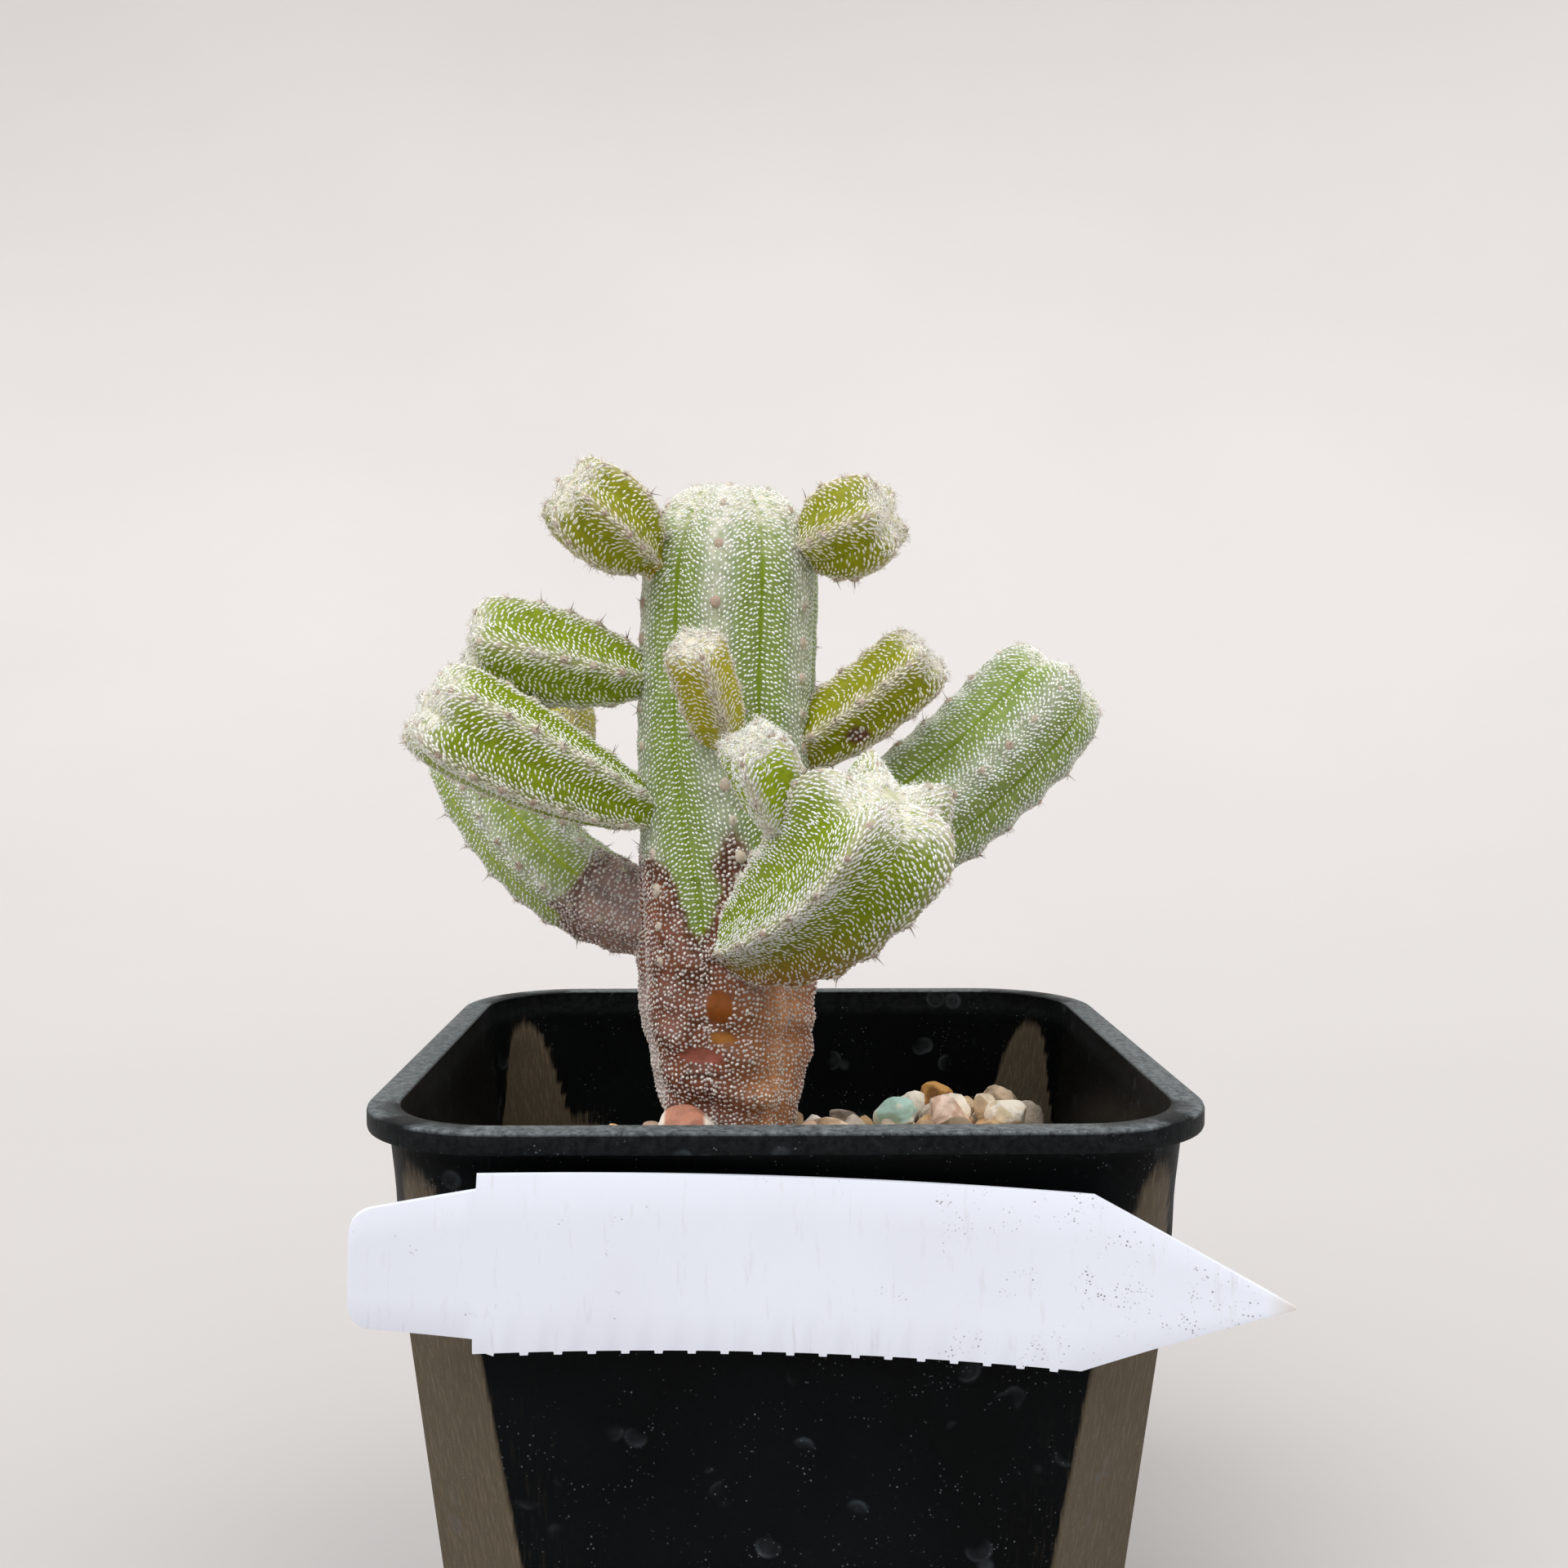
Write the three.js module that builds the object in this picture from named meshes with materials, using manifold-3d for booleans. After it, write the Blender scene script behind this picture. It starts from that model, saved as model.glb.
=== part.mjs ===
// A monstrose bishop's cap cactus in a square black nursery pot, with gravel and a blank plant label.
// Sizes are millimetres, +Z is up, the label is on the -Y side, and the origin is the middle of the pot's
// underside.
import * as THREE from "three";
import { mergeVertices } from "three/addons/utils/BufferGeometryUtils.js";
import Module from "manifold-3d";

const wasm = await Module();
wasm.setup();

const { PI, abs, atan2, cos, hypot, max, min, pow, sin, sqrt } = Math;
const vec = (x, y, z) => new THREE.Vector3(x, y, z);
const mix = (a, b, t) => a + (b - a) * t;
const ease = (t) => t * t * (3 - 2 * t);
const between = (t, low, high) => min(1, max(0, (t - low) / (high - low)));

// Driving dimensions of the pot
const potHeight = 90;
const rimWidth = 98; // across the flats of the rim, outside
const rimCorner = 17;
const rimHeight = 2.6;
const bodyWidth = 92.8; // just under the rim
const baseWidth = 76.4;
const wall = 1.3;
const floorThickness = 1.6;
const roundCorner = 14; // corner radius of the body at its top
const facetTop = 8; // leg of the flat corner facet near the rim
const facetBase = 14; // and at the base
const facetSettles = 24; // below this depth the corner is a crisp facet
const drainHole = { radius: 4.5, offset: 21 };

// Gravel
const clearance = 0.35;
const bedLevel = 72.4;
const stem = { x: -6.9, y: 0 };
const stemHole = { top: 13.4, bottom: 9, depth: 40 }; // widens upwards round the stem

// Plant
const crownZ = 166.4;
const stemFoot = 77;
const rootTip = 60;
const spine = { length: 1.9, radius: 0.26, sunk: 0.9 };

// Label
const label = {
  length: 100,
  height: 20,
  thickness: 0.6,
  bowRadius: 178,
  tiltDeg: -2.65,
  centre: { x: 3.75, z: 74.8 },
  tab: { length: 12.6, atNotch: 16.6, atEnd: 12.6, corner: 2.2 },
  point: 21.5, // length of the pointed end
  nub: { pitch: 3.6, width: 0.9, height: 0.35, clearEnds: 2 },
};
const tape = { width: 24, height: 12, thickness: 1.0 };

// A repeatable stream of numbers between 0 and 1.
function seeded(seed) {
  let state = seed;
  return () => {
    state = (state * 1664525 + 1013904223) % 4294967296;
    return state / 4294967296;
  };
}

// A closed skin over rings that all have the same number of points, with a pole at each end.
function skin(startPole, rings, endPole) {
  const count = rings[0].length;
  const points = [startPole, ...rings.flat(), endPole];
  const last = points.length - 1;
  const faces = [];
  const at = (ring, k) => 1 + ring * count + (k % count);
  for (let k = 0; k < count; k++) {
    faces.push(0, at(0, k + 1), at(0, k));
    faces.push(last, at(rings.length - 1, k), at(rings.length - 1, k + 1));
    for (let ring = 0; ring + 1 < rings.length; ring++) {
      faces.push(at(ring, k), at(ring, k + 1), at(ring + 1, k + 1));
      faces.push(at(ring, k), at(ring + 1, k + 1), at(ring + 1, k));
    }
  }
  const geometry = new THREE.BufferGeometry().setFromPoints(points);
  geometry.setIndex(faces);
  return geometry;
}

function solidOf(geometry) {
  const bare = geometry.clone();
  bare.deleteAttribute("normal");
  bare.deleteAttribute("uv");
  const merged = mergeVertices(bare, 1e-4);
  return new wasm.Manifold(
    new wasm.Mesh({
      numProp: 3,
      vertProperties: new Float32Array(merged.attributes.position.array),
      triVerts: new Uint32Array(merged.index.array),
    }),
  );
}

function geometryOf(solid) {
  const mesh = solid.getMesh();
  const geometry = new THREE.BufferGeometry();
  geometry.setAttribute(
    "position",
    new THREE.BufferAttribute(new Float32Array(mesh.vertProperties), 3),
  );
  geometry.setIndex(new THREE.BufferAttribute(new Uint32Array(mesh.triVerts), 1));
  return geometry;
}

// Joins solids two by two, so that each join stays small.
function fused(solids) {
  let left = solids;
  while (left.length > 1) {
    const next = [];
    for (let i = 0; i < left.length; i += 2)
      next.push(i + 1 < left.length ? left[i].add(left[i + 1]) : left[i]);
    left = next;
  }
  return left[0];
}

// A pot section: a square whose corners turn from a round arc into a flat facet.
const cornerSteps = 6;
function squareRing(half, z, radius, facet, crispness) {
  const ring = [];
  for (let corner = 0; corner < 4; corner++) {
    const turn = (corner * PI) / 2;
    for (let step = 0; step <= cornerSteps; step++) {
      const t = step / cornerSteps;
      const angle = (t * PI) / 2;
      const arcX = half - radius + radius * cos(angle);
      const arcY = half - radius + radius * sin(angle);
      const x = mix(arcX, half - facet * t, crispness);
      const y = mix(arcY, half - facet * (1 - t), crispness);
      ring.push(vec(x * cos(turn) - y * sin(turn), x * sin(turn) + y * cos(turn), z));
    }
  }
  return ring;
}

const rimUnderside = potHeight - rimHeight;
const halfAt = (z) => mix(baseWidth / 2, bodyWidth / 2, z / rimUnderside);
function bodyRing(z, inset) {
  const depth = potHeight - z;
  const crispness = ease(between(depth, 1, facetSettles));
  const facet = mix(facetTop, facetBase, depth / potHeight);
  return squareRing(halfAt(z) - inset, z, roundCorner - inset, facet - inset * 0.6, crispness);
}

function makePot() {
  const outer = [0, 30, 60, 70, 78, 83, rimUnderside].map((z) => bodyRing(z, 0));
  const inner = [potHeight - 0.7, 83, 78, 70, 60, 30, floorThickness];
  const rim = (inset, z) => squareRing(rimWidth / 2 - inset, z, rimCorner - inset, 0, 0);
  const rings = [
    ...outer,
    rim(0.5, rimUnderside),
    rim(0, rimUnderside + 0.4),
    rim(0, potHeight - 0.4),
    rim(0.4, potHeight),
    rim((rimWidth - bodyWidth) / 2 + wall - 0.1, potHeight),
    ...inner.map((z) => bodyRing(z, wall)),
  ];
  let pot = solidOf(skin(vec(0, 0, 0), rings, vec(0, 0, floorThickness)));
  for (const sx of [-1, 1])
    for (const sy of [-1, 1]) {
      const hole = new THREE.CylinderGeometry(
        drainHole.radius, drainHole.radius, 3 * floorThickness, 20,
      );
      hole.rotateX(PI / 2);
      hole.translate(sx * drainHole.offset, sy * drainHole.offset, floorThickness / 2);
      pot = pot.subtract(solidOf(hole));
    }
  return geometryOf(pot);
}

// The gravel lies low along the back left, and is heaped round the stem and in the back right corner.
function bedHeight(x, y) {
  const fall = 7.5 * between(y, 0, 40);
  const heap = 8.2 * Math.exp(-pow((x - 27) / 16, 2) - pow((y - 28) / 14, 2));
  const collar = 7.5 * Math.exp(-(pow(x - stem.x, 2) + pow(y - stem.y, 2)) / 420);
  return bedLevel - fall + heap + collar;
}

// A broken stone: a ball pushed about by a few slow waves.
function stoneGeometry(size, detail, seed) {
  const random = seeded(seed);
  const phase = [random() * 6, random() * 6, random() * 6];
  const shape = [mix(0.8, 1.15, random()), mix(0.75, 1.1, random()), mix(0.62, 0.9, random())];
  const geometry = new THREE.IcosahedronGeometry(1, detail);
  const place = geometry.attributes.position;
  for (let i = 0; i < place.count; i++) {
    const p = vec(place.getX(i), place.getY(i), place.getZ(i));
    const bulge =
      1 + 0.1 * sin(3.1 * p.x + phase[0]) + 0.1 * sin(2.7 * p.y + phase[1] + p.z) +
      0.08 * sin(3.7 * p.z + phase[2]);
    p.multiplyScalar((bulge * size) / 2);
    place.setXYZ(i, p.x * shape[0], p.y * shape[1], p.z * shape[2]);
  }
  geometry.rotateZ(random() * PI);
  geometry.rotateX((random() - 0.5) * 0.8);
  return geometry;
}

// The stones that stand out of the gravel: place, height over the gravel, size, colour and seed.
const looseStones = [
  { name: "stone_terracotta", at: [-12.6, -14.8], rise: 5.8, size: 8.6, colour: 0x9c5a45, seed: 3 },
  { name: "stone_shell_white", at: [-19.4, -11.2], rise: 3.6, size: 6.2, colour: 0xe2d6c8, seed: 9 },
  { name: "stone_buff", at: [6.6, 3.4], rise: 2.4, size: 5.6, colour: 0xcdb596, seed: 14 },
  { name: "stone_turquoise", at: [17.6, 22.0], rise: 2.6, size: 7.4, colour: 0x9cc4b8, seed: 21 },
  { name: "stone_pink", at: [25.4, 19.6], rise: 2.4, size: 7.0, colour: 0xdcb9a2, seed: 27 },
  { name: "stone_ivory", at: [34.0, 20.6], rise: 2.6, size: 7.2, colour: 0xdfd0bb, seed: 33 },
  { name: "stone_ochre", at: [24.4, 28.4], rise: 2.8, size: 6.6, colour: 0xb98a4b, seed: 38 },
  { name: "stone_sand", at: [34.4, 29.6], rise: 2.2, size: 8.8, colour: 0xbfa687, seed: 45 },
  { name: "stone_grey", at: [11.0, 29.6], rise: 2.6, size: 6.8, colour: 0x8d7d72, seed: 52 },
];

function looseStone({ at, rise, size, seed }, swell = 0) {
  const geometry = stoneGeometry(size, 1, seed);
  const grow = 1 + (2 * swell) / size;
  geometry.scale(grow, grow, grow * 1.05);
  geometry.translate(at[0], at[1], bedHeight(...at) + rise - 1.6);
  return geometry;
}

const bedStones = { across: 7, pitch: 11.8, size: [10.4, 13] };
function makeGravel() {
  const inset = wall + clearance;
  const bottom = floorThickness + clearance;
  const levels = [bottom, 30, 60, 66];
  const sides = levels.map((z) => bodyRing(z, inset));
  const brim = bodyRing(bedLevel - 2, inset);
  const top = [0.99, 0.8, 0.55, 0.3].map((share) =>
    brim.map((p) => vec(p.x * share, p.y * share, bedHeight(p.x * share, p.y * share) - 1.6)),
  );
  const bed = solidOf(skin(vec(0, 0, bottom), [...sides, brim, ...top], vec(0, 0, bedLevel)));
  const random = seeded(11);
  const stones = [];
  const middle = (bedStones.across - 1) / 2;
  for (let row = 0; row < bedStones.across; row++)
    for (let column = 0; column < bedStones.across; column++) {
      const x = (column - middle) * bedStones.pitch + (random() - 0.5) * 3;
      const y = (row - middle) * bedStones.pitch + (random() - 0.5) * 3;
      const size = mix(...bedStones.size, random());
      const stone = stoneGeometry(size, 0, 100 + row * bedStones.across + column);
      stone.translate(x, y, bedHeight(x, y) - 2.2 + random() * 1.2);
      stones.push(solidOf(stone));
    }
  // What would reach into the pot wall is cut off along it.
  const inside = solidOf(
    skin(vec(0, 0, 40), [40, 60, 70, 76, 82].map((z) => bodyRing(z, inset + 0.1)), vec(0, 0, 82)),
  );
  let gravel = bed.add(fused(stones).intersect(inside));
  const well = new THREE.CylinderGeometry(stemHole.top, stemHole.bottom, stemHole.depth, 28);
  well.rotateX(PI / 2);
  well.translate(stem.x, stem.y, rootTip - 1.2 + stemHole.depth / 2);
  gravel = gravel.subtract(solidOf(well));
  for (const stone of looseStones) gravel = gravel.subtract(solidOf(looseStone(stone, clearance)));
  const bodies = gravel.decompose().sort((a, b) => b.volume() - a.volume());
  return geometryOf(bodies[0]);
}

// Each head grows from foot to tip along a bowed axis. Its skin is pinched at the collar, where it leaves
// what it grows from, and is full at the swell. turn is where its first rib points, in degrees from the
// viewer's side; keen is 0 for round ribs with a narrow groove and 1 for sharp ribs with a broad one.
const mainStem = {
  foot: [-6.9, 0.6, stemFoot], tip: [-6.4, 0, crownZ], bow: [-1.1, 0, 0],
  radius: 12.4, neck: 0.68, collar: 0, swell: 0.2, shoulder: 0.85, round: 0.62,
  ribs: 6, turn: -8, depth: 0.1, keen: 0.05, horn: 0, dip: 0.04, areoles: 16, perRib: 4, bareBelow: 0.34,
};
const heads = [
  { name: "top_left", foot: [-15.5, -4, 154.2], tip: [-28.1, -13, 164.8], bow: [0, 0, 0],
    radius: 6.8, neck: 0.4, collar: 0.2, swell: 0.6, shoulder: 0.62, round: 0.5,
    ribs: 6, turn: 2, depth: 0.17, keen: 0.5, horn: 0.03, dip: 0.1, areoles: 4, perRib: 4 },
  { name: "top_right", foot: [0.6, -3, 156.6], tip: [14.1, -11, 161.6], bow: [0, 0, 0],
    radius: 6.8, neck: 0.4, collar: 0.2, swell: 0.6, shoulder: 0.62, round: 0.5,
    ribs: 5, turn: 0, depth: 0.17, keen: 0.5, horn: 0.03, dip: 0.1, areoles: 4, perRib: 4 },
  { name: "mid_left", foot: [-16.4, -2, 139.7], tip: [-41.7, -8, 145.2], bow: [0, 0, 0],
    radius: 6.9, neck: 0.4, collar: 0.1, swell: 0.7, shoulder: 0.76, round: 0.55,
    ribs: 5, turn: 0, depth: 0.16, keen: 0.4, horn: 0.02, dip: 0.1, areoles: 5, perRib: 4 },
  { name: "low_left_front", foot: [-14.7, -4, 120.9], tip: [-45.7, -17, 136.9], bow: [-1, 0, -0.4],
    radius: 7.4, neck: 0.36, collar: 0.1, swell: 0.75, shoulder: 0.8, round: 0.55,
    ribs: 5, turn: 34, depth: 0.19, keen: 0.6, horn: 0.03, dip: 0.1, areoles: 7, perRib: 4 },
  { name: "low_left_back", foot: [-15, 3, 106.8], tip: [-46.8, 18, 134.0], bow: [-3.4, 1.5, -5.2],
    radius: 7.2, neck: 0.8, collar: 0.05, swell: 0.5, shoulder: 0.84, round: 0.55,
    ribs: 5, turn: -18, depth: 0.17, keen: 0.3, horn: 0.02, dip: 0.1, areoles: 8, perRib: 4 },
  { name: "front_small", foot: [-7.1, -8.5, 129.7], tip: [-11.7, -21, 144.6], bow: [0, 0, 0],
    radius: 4.0, neck: 0.5, collar: 0.1, swell: 0.5, shoulder: 0.8, round: 0.5,
    ribs: 4, turn: 10, depth: 0.16, keen: 0.5, horn: 0.08, dip: 0.1, areoles: 4, perRib: 4 },
  { name: "front_big", foot: [-11.2, -6, 102.4], tip: [12.9, -32, 127.3], bow: [3.3, -2, -2.4],
    radius: 10.3, neck: 0.3, collar: 0.12, swell: 0.62, shoulder: 0.76, round: 0.6,
    ribs: 5, turn: -12, depth: 0.22, keen: 0.6, horn: 0.12, dip: 0.2, areoles: 6, perRib: 6 },
  { name: "shoulder_pup", foot: [1.1, -20.5, 119.8], tip: [-4.5, -30, 132.7], bow: [0, 0, 0],
    radius: 4.8, neck: 0.6, collar: 0.1, swell: 0.5, shoulder: 0.74, round: 0.5,
    ribs: 4, turn: -30, depth: 0.18, keen: 0.6, horn: 0.08, dip: 0.1, areoles: 3, perRib: 4 },
  { name: "right_small", foot: [-0.8, -1.5, 129.2], tip: [19.5, -6, 144.0], bow: [0.6, 0, -0.6],
    radius: 5.5, neck: 0.55, collar: 0.1, swell: 0.5, shoulder: 0.8, round: 0.55,
    ribs: 5, turn: -6, depth: 0.17, keen: 0.5, horn: 0.05, dip: 0.08, areoles: 5, perRib: 4 },
  { name: "right_big", foot: [0.3, 2, 111.1], tip: [40.7, 13, 141.7], bow: [2.2, 0.5, -2.2],
    radius: 9.9, neck: 0.6, collar: 0.05, swell: 0.5, shoulder: 0.83, round: 0.6,
    ribs: 5, turn: 0, depth: 0.15, keen: 0.2, horn: 0.02, dip: 0.08, areoles: 8, perRib: 4 },
  { name: "back_pup", foot: [-32.4, 14.6, 116], tip: [-31.6, 20, 138.2], bow: [0, 0, 0],
    radius: 4.6, neck: 0.6, collar: 0.2, swell: 0.7, shoulder: 0.78, round: 0.5,
    ribs: 4, turn: 20, depth: 0.16, keen: 0.5, horn: 0.03, dip: 0.05, areoles: 4, perRib: 4 },
];

const capSteps = 4;
const towardsViewer = vec(0, -1, 0);

// The frame of a head's axis at share s of its length.
function axisAt(head, s) {
  const foot = vec(...head.foot);
  const tip = vec(...head.tip);
  const control = foot.clone().lerp(tip, 0.5).add(vec(...head.bow).multiplyScalar(2));
  const curve = new THREE.QuadraticBezierCurve3(foot, control, tip);
  const along = curve.getTangent(s);
  const front = towardsViewer.clone().addScaledVector(along, -towardsViewer.dot(along)).normalize();
  return { place: curve.getPoint(s), along, front, side: along.clone().cross(front) };
}

// How high the rib stands at an angle: 1 on its crest and 0 in the groove.
function ridge(head, angle) {
  const w = (head.ribs * (angle - (head.turn * PI) / 180)) / 2;
  return mix(abs(cos(w)), 1 - abs(sin(w)), head.keen);
}

// A point of a head's skin. wallShare runs over the side, and capAngle from 0 at the shoulder to a
// quarter turn at the crown.
function skinPoint(head, wallShare, capAngle, angle, bump = 0) {
  const s = head.shoulder * wallShare + (1 - head.shoulder) * sin(capAngle);
  const { place, along, front, side } = axisAt(head, s);
  const grown = between(s, head.collar, head.swell);
  const neck = head.neck + (1 - head.neck) * pow(sin((PI / 2) * grown), 0.7);
  const high = ridge(head, angle);
  const horn = head.horn * high * high * Math.exp(-pow((s - head.shoulder - 0.1) / 0.12, 2));
  const cap = pow(max(0, cos(capAngle)), head.round);
  const groove = 1 - head.depth * (1 - high);
  const r = head.radius * neck * cap * (groove + horn) + bump * min(1, 1.6 * cap);
  const lift =
    head.radius * (head.depth * (high - 0.45) * sin(2 * capAngle) - head.dip * pow(sin(capAngle), 6));
  return place
    .addScaledVector(along, lift)
    .addScaledVector(front, r * cos(angle))
    .addScaledVector(side, r * sin(angle));
}

// The old base of the stem is corky, and wrinkled across.
function wrinkle(head, z) {
  if (head !== mainStem) return 0;
  return 0.45 * sin(z * 1.25) * sin(z * 0.47) * between(104 - z, 0, 8);
}

const areoleBump = 0.45;
function makeHead(head) {
  const around = head.ribs * head.perRib;
  const rings = [];
  const wallSteps = 2 * head.areoles;
  const ringAt = (wallShare, capAngle, odd) => {
    const ring = [];
    for (let k = 0; k < around; k++) {
      const angle = (head.turn * PI) / 180 + (k * 2 * PI) / around;
      const onCrest = k % head.perRib === 0;
      const z = axisAt(head, head.shoulder * wallShare).place.z;
      const bump = (onCrest && odd ? areoleBump : 0) + wrinkle(head, z);
      ring.push(skinPoint(head, wallShare, capAngle, angle, bump));
    }
    return ring;
  };
  for (let i = 0; i <= wallSteps; i++) rings.push(ringAt(i / wallSteps, 0, i % 2 === 1));
  for (let i = 1; i <= capSteps; i++)
    rings.push(ringAt(1, (i / (capSteps + 0.6)) * (PI / 2), i === 2));
  const foot = axisAt(head, 0).place;
  return solidOf(skin(foot, rings, skinPoint(head, 1, PI / 2, 0)));
}

// Short stiff spines, one from every second woolly pad.
function spinesOf(head) {
  const made = [];
  for (let rib = 0; rib < head.ribs; rib++)
    for (let pad = rib % 2; pad < head.areoles; pad += 2) {
      const wallShare = (2 * pad + 1) / (2 * head.areoles);
      if (wallShare < (head.bareBelow ?? 0.3)) continue;
      const angle = (head.turn * PI) / 180 + (rib * 2 * PI) / head.ribs;
      const root = skinPoint(head, wallShare, 0, angle, areoleBump);
      const { place, along } = axisAt(head, head.shoulder * wallShare);
      const out = root.clone().sub(place).normalize().addScaledVector(along, 0.25).normalize();
      const needle = new THREE.ConeGeometry(spine.radius, spine.length + spine.sunk, 3);
      needle.translate(0, (spine.length + spine.sunk) / 2 - spine.sunk, 0);
      needle.applyQuaternion(new THREE.Quaternion().setFromUnitVectors(vec(0, 1, 0), out));
      needle.translate(root.x, root.y, root.z);
      made.push(solidOf(needle));
    }
  return made;
}

function makeCactus() {
  const rootProfile = [
    [0, rootTip], [3.2, rootTip + 0.8], [6.4, rootTip + 6], [8.2, rootTip + 14], [8.6, stemFoot + 1],
    [0, stemFoot + 1],
  ].map(([r, z]) => new THREE.Vector2(r, z));
  const root = new THREE.LatheGeometry(rootProfile, 20);
  root.rotateX(PI / 2);
  root.translate(stem.x, stem.y, 0);
  const plant = fused([solidOf(root), makeHead(mainStem), ...heads.map(makeHead)]);
  const spines = [mainStem, ...heads].flatMap(spinesOf);
  const whole = plant.add(fused(spines));
  const bodies = whole.decompose().sort((a, b) => b.volume() - a.volume());
  return geometryOf(bodies[0]);
}

// The label: columns from its square tab to its point, each with a lower and an upper edge.
const frontLean = atan2((bodyWidth - baseWidth) / 2, rimUnderside);
const labelLeft = -label.length / 2;
const labelRight = label.length / 2;
const notchAt = labelLeft + label.tab.length;
const pointFrom = labelRight - label.point;

function labelEdges(u) {
  const { tab, nub } = label;
  if (u >= pointFrom) {
    const share = (labelRight - u) / label.point;
    return [-0.25 - (label.height / 2 - 0.25) * share, -0.25 + (label.height / 2 + 0.25) * share];
  }
  if (u > notchAt) {
    const from = u - notchAt;
    const inNub = ((from + nub.pitch) % nub.pitch) < nub.width && from > nub.clearEnds;
    return [-label.height / 2 - (inNub ? nub.height : 0), label.height / 2];
  }
  const half = mix(tab.atEnd, tab.atNotch, (u - labelLeft) / tab.length) / 2;
  const inArc = max(0, labelLeft + tab.corner - u);
  const round = tab.corner - sqrt(max(0, tab.corner * tab.corner - inArc * inArc));
  return [-half + round, half - round];
}

function labelColumns() {
  const { tab, nub } = label;
  const columns = [0, 0.15, 0.5, 1, 1.6].map((share) => labelLeft + share * tab.corner);
  for (let u = labelLeft + 5; u < notchAt - 0.5; u += 3) columns.push(u);
  columns.push(notchAt - 0.02, notchAt + 0.3);
  for (let u = notchAt + nub.pitch; u < pointFrom - 1; u += nub.pitch)
    columns.push(u - 0.02, u + 0.1, u + nub.width - 0.1, u + nub.width + 0.02);
  for (let i = 0; i <= 6; i++) columns.push(pointFrom + (label.point - 0.2) * (i / 6));
  return columns;
}

// Puts a flat label point where it hangs: bowed, tilted, and leaning as the pot's front does.
const tilt = (label.tiltDeg * PI) / 180;
const faceY = (z) => -halfAt(z);
const labelBack = faceY(label.centre.z) - tape.thickness - 2 * clearance;
function onFront(u, v, out) {
  const bowed = -(u * u) / (2 * label.bowRadius) - out;
  const x = u * cos(tilt) - v * sin(tilt);
  const up = u * sin(tilt) + v * cos(tilt);
  return vec(
    label.centre.x + x,
    labelBack + bowed * cos(frontLean) - up * sin(frontLean),
    label.centre.z + up * cos(frontLean),
  );
}

function makeLabel() {
  const rings = labelColumns().map((u) => {
    const [low, high] = labelEdges(u);
    return [
      onFront(u, low, 0), onFront(u, high, 0),
      onFront(u, high, label.thickness), onFront(u, low, label.thickness),
    ];
  });
  const middle = (ring) => ring[0].clone().lerp(ring[2], 0.5);
  return skin(middle(rings[0]), rings, middle(rings[rings.length - 1]));
}

function makeTape() {
  const rings = [];
  const steps = 6;
  for (let i = 0; i <= steps; i++) {
    const u = mix(-tape.width / 2, tape.width / 2, i / steps) - label.centre.x;
    const bow = (u * u) / (2 * label.bowRadius);
    const back = -tape.thickness - clearance;
    const front = -clearance + bow;
    rings.push([
      onFront(u, -tape.height / 2, back + bow), onFront(u, tape.height / 2, back + bow),
      onFront(u, tape.height / 2, front - bow), onFront(u, -tape.height / 2, front - bow),
    ]);
  }
  const middle = (ring) => ring[0].clone().lerp(ring[2], 0.5);
  return skin(middle(rings[0]), rings, middle(rings[steps]));
}

// Matt things share one way of being coloured.
function named(name, geometry, colour, roughness) {
  const material = new THREE.MeshStandardMaterial({ color: colour, roughness, metalness: 0 });
  const mesh = new THREE.Mesh(geometry, material);
  mesh.name = name;
  return mesh;
}

const pottedCactus = new THREE.Group();
pottedCactus.add(
  named("pot", makePot(), 0x15171a, 0.5),
  named("gravel", makeGravel(), 0xb9a78f, 0.9),
  named("cactus", makeCactus(), 0x86a05a, 0.75),
  named("label", makeLabel(), 0xeef0f4, 0.45),
  named("label_tape", makeTape(), 0xe8e4da, 0.8),
  ...looseStones.map((s) => named(s.name, looseStone(s), s.colour, 0.85)),
);

export default pottedCactus;
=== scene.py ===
# Looks of a potted monstrose bishop's cap cactus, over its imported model. Label side towards -Y.
import bpy
import bmesh
import math
import numpy as np
from functools import partial
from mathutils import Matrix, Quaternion, Vector, noise


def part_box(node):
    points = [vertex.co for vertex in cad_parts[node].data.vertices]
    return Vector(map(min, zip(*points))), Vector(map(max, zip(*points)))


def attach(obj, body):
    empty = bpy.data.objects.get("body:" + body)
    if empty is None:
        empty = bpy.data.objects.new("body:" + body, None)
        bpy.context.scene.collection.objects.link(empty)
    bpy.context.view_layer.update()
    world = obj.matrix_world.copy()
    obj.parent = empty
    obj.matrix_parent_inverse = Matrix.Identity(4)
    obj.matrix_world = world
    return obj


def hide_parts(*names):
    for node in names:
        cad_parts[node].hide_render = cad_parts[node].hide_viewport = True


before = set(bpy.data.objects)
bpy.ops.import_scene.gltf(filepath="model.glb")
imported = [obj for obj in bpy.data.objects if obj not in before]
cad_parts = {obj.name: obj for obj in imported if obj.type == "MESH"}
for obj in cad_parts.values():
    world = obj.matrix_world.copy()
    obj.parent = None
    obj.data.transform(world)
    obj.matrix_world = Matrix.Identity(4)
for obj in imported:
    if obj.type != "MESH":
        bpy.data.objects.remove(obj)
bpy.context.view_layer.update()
mm = 0.001
deg = math.radians(1)
finished = []  # every piece made here


def pickNone():
    bpy.ops.object.select_all(action="DESELECT")


def pickOnly(*pieces):
    pickNone()
    for piece in pieces:
        piece.select_set(True)
    bpy.context.view_layer.objects.active = pieces[0]


def smoothShade(piece, angle):
    pickOnly(piece)
    bpy.ops.object.shade_smooth_by_angle(angle=angle * deg)


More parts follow.
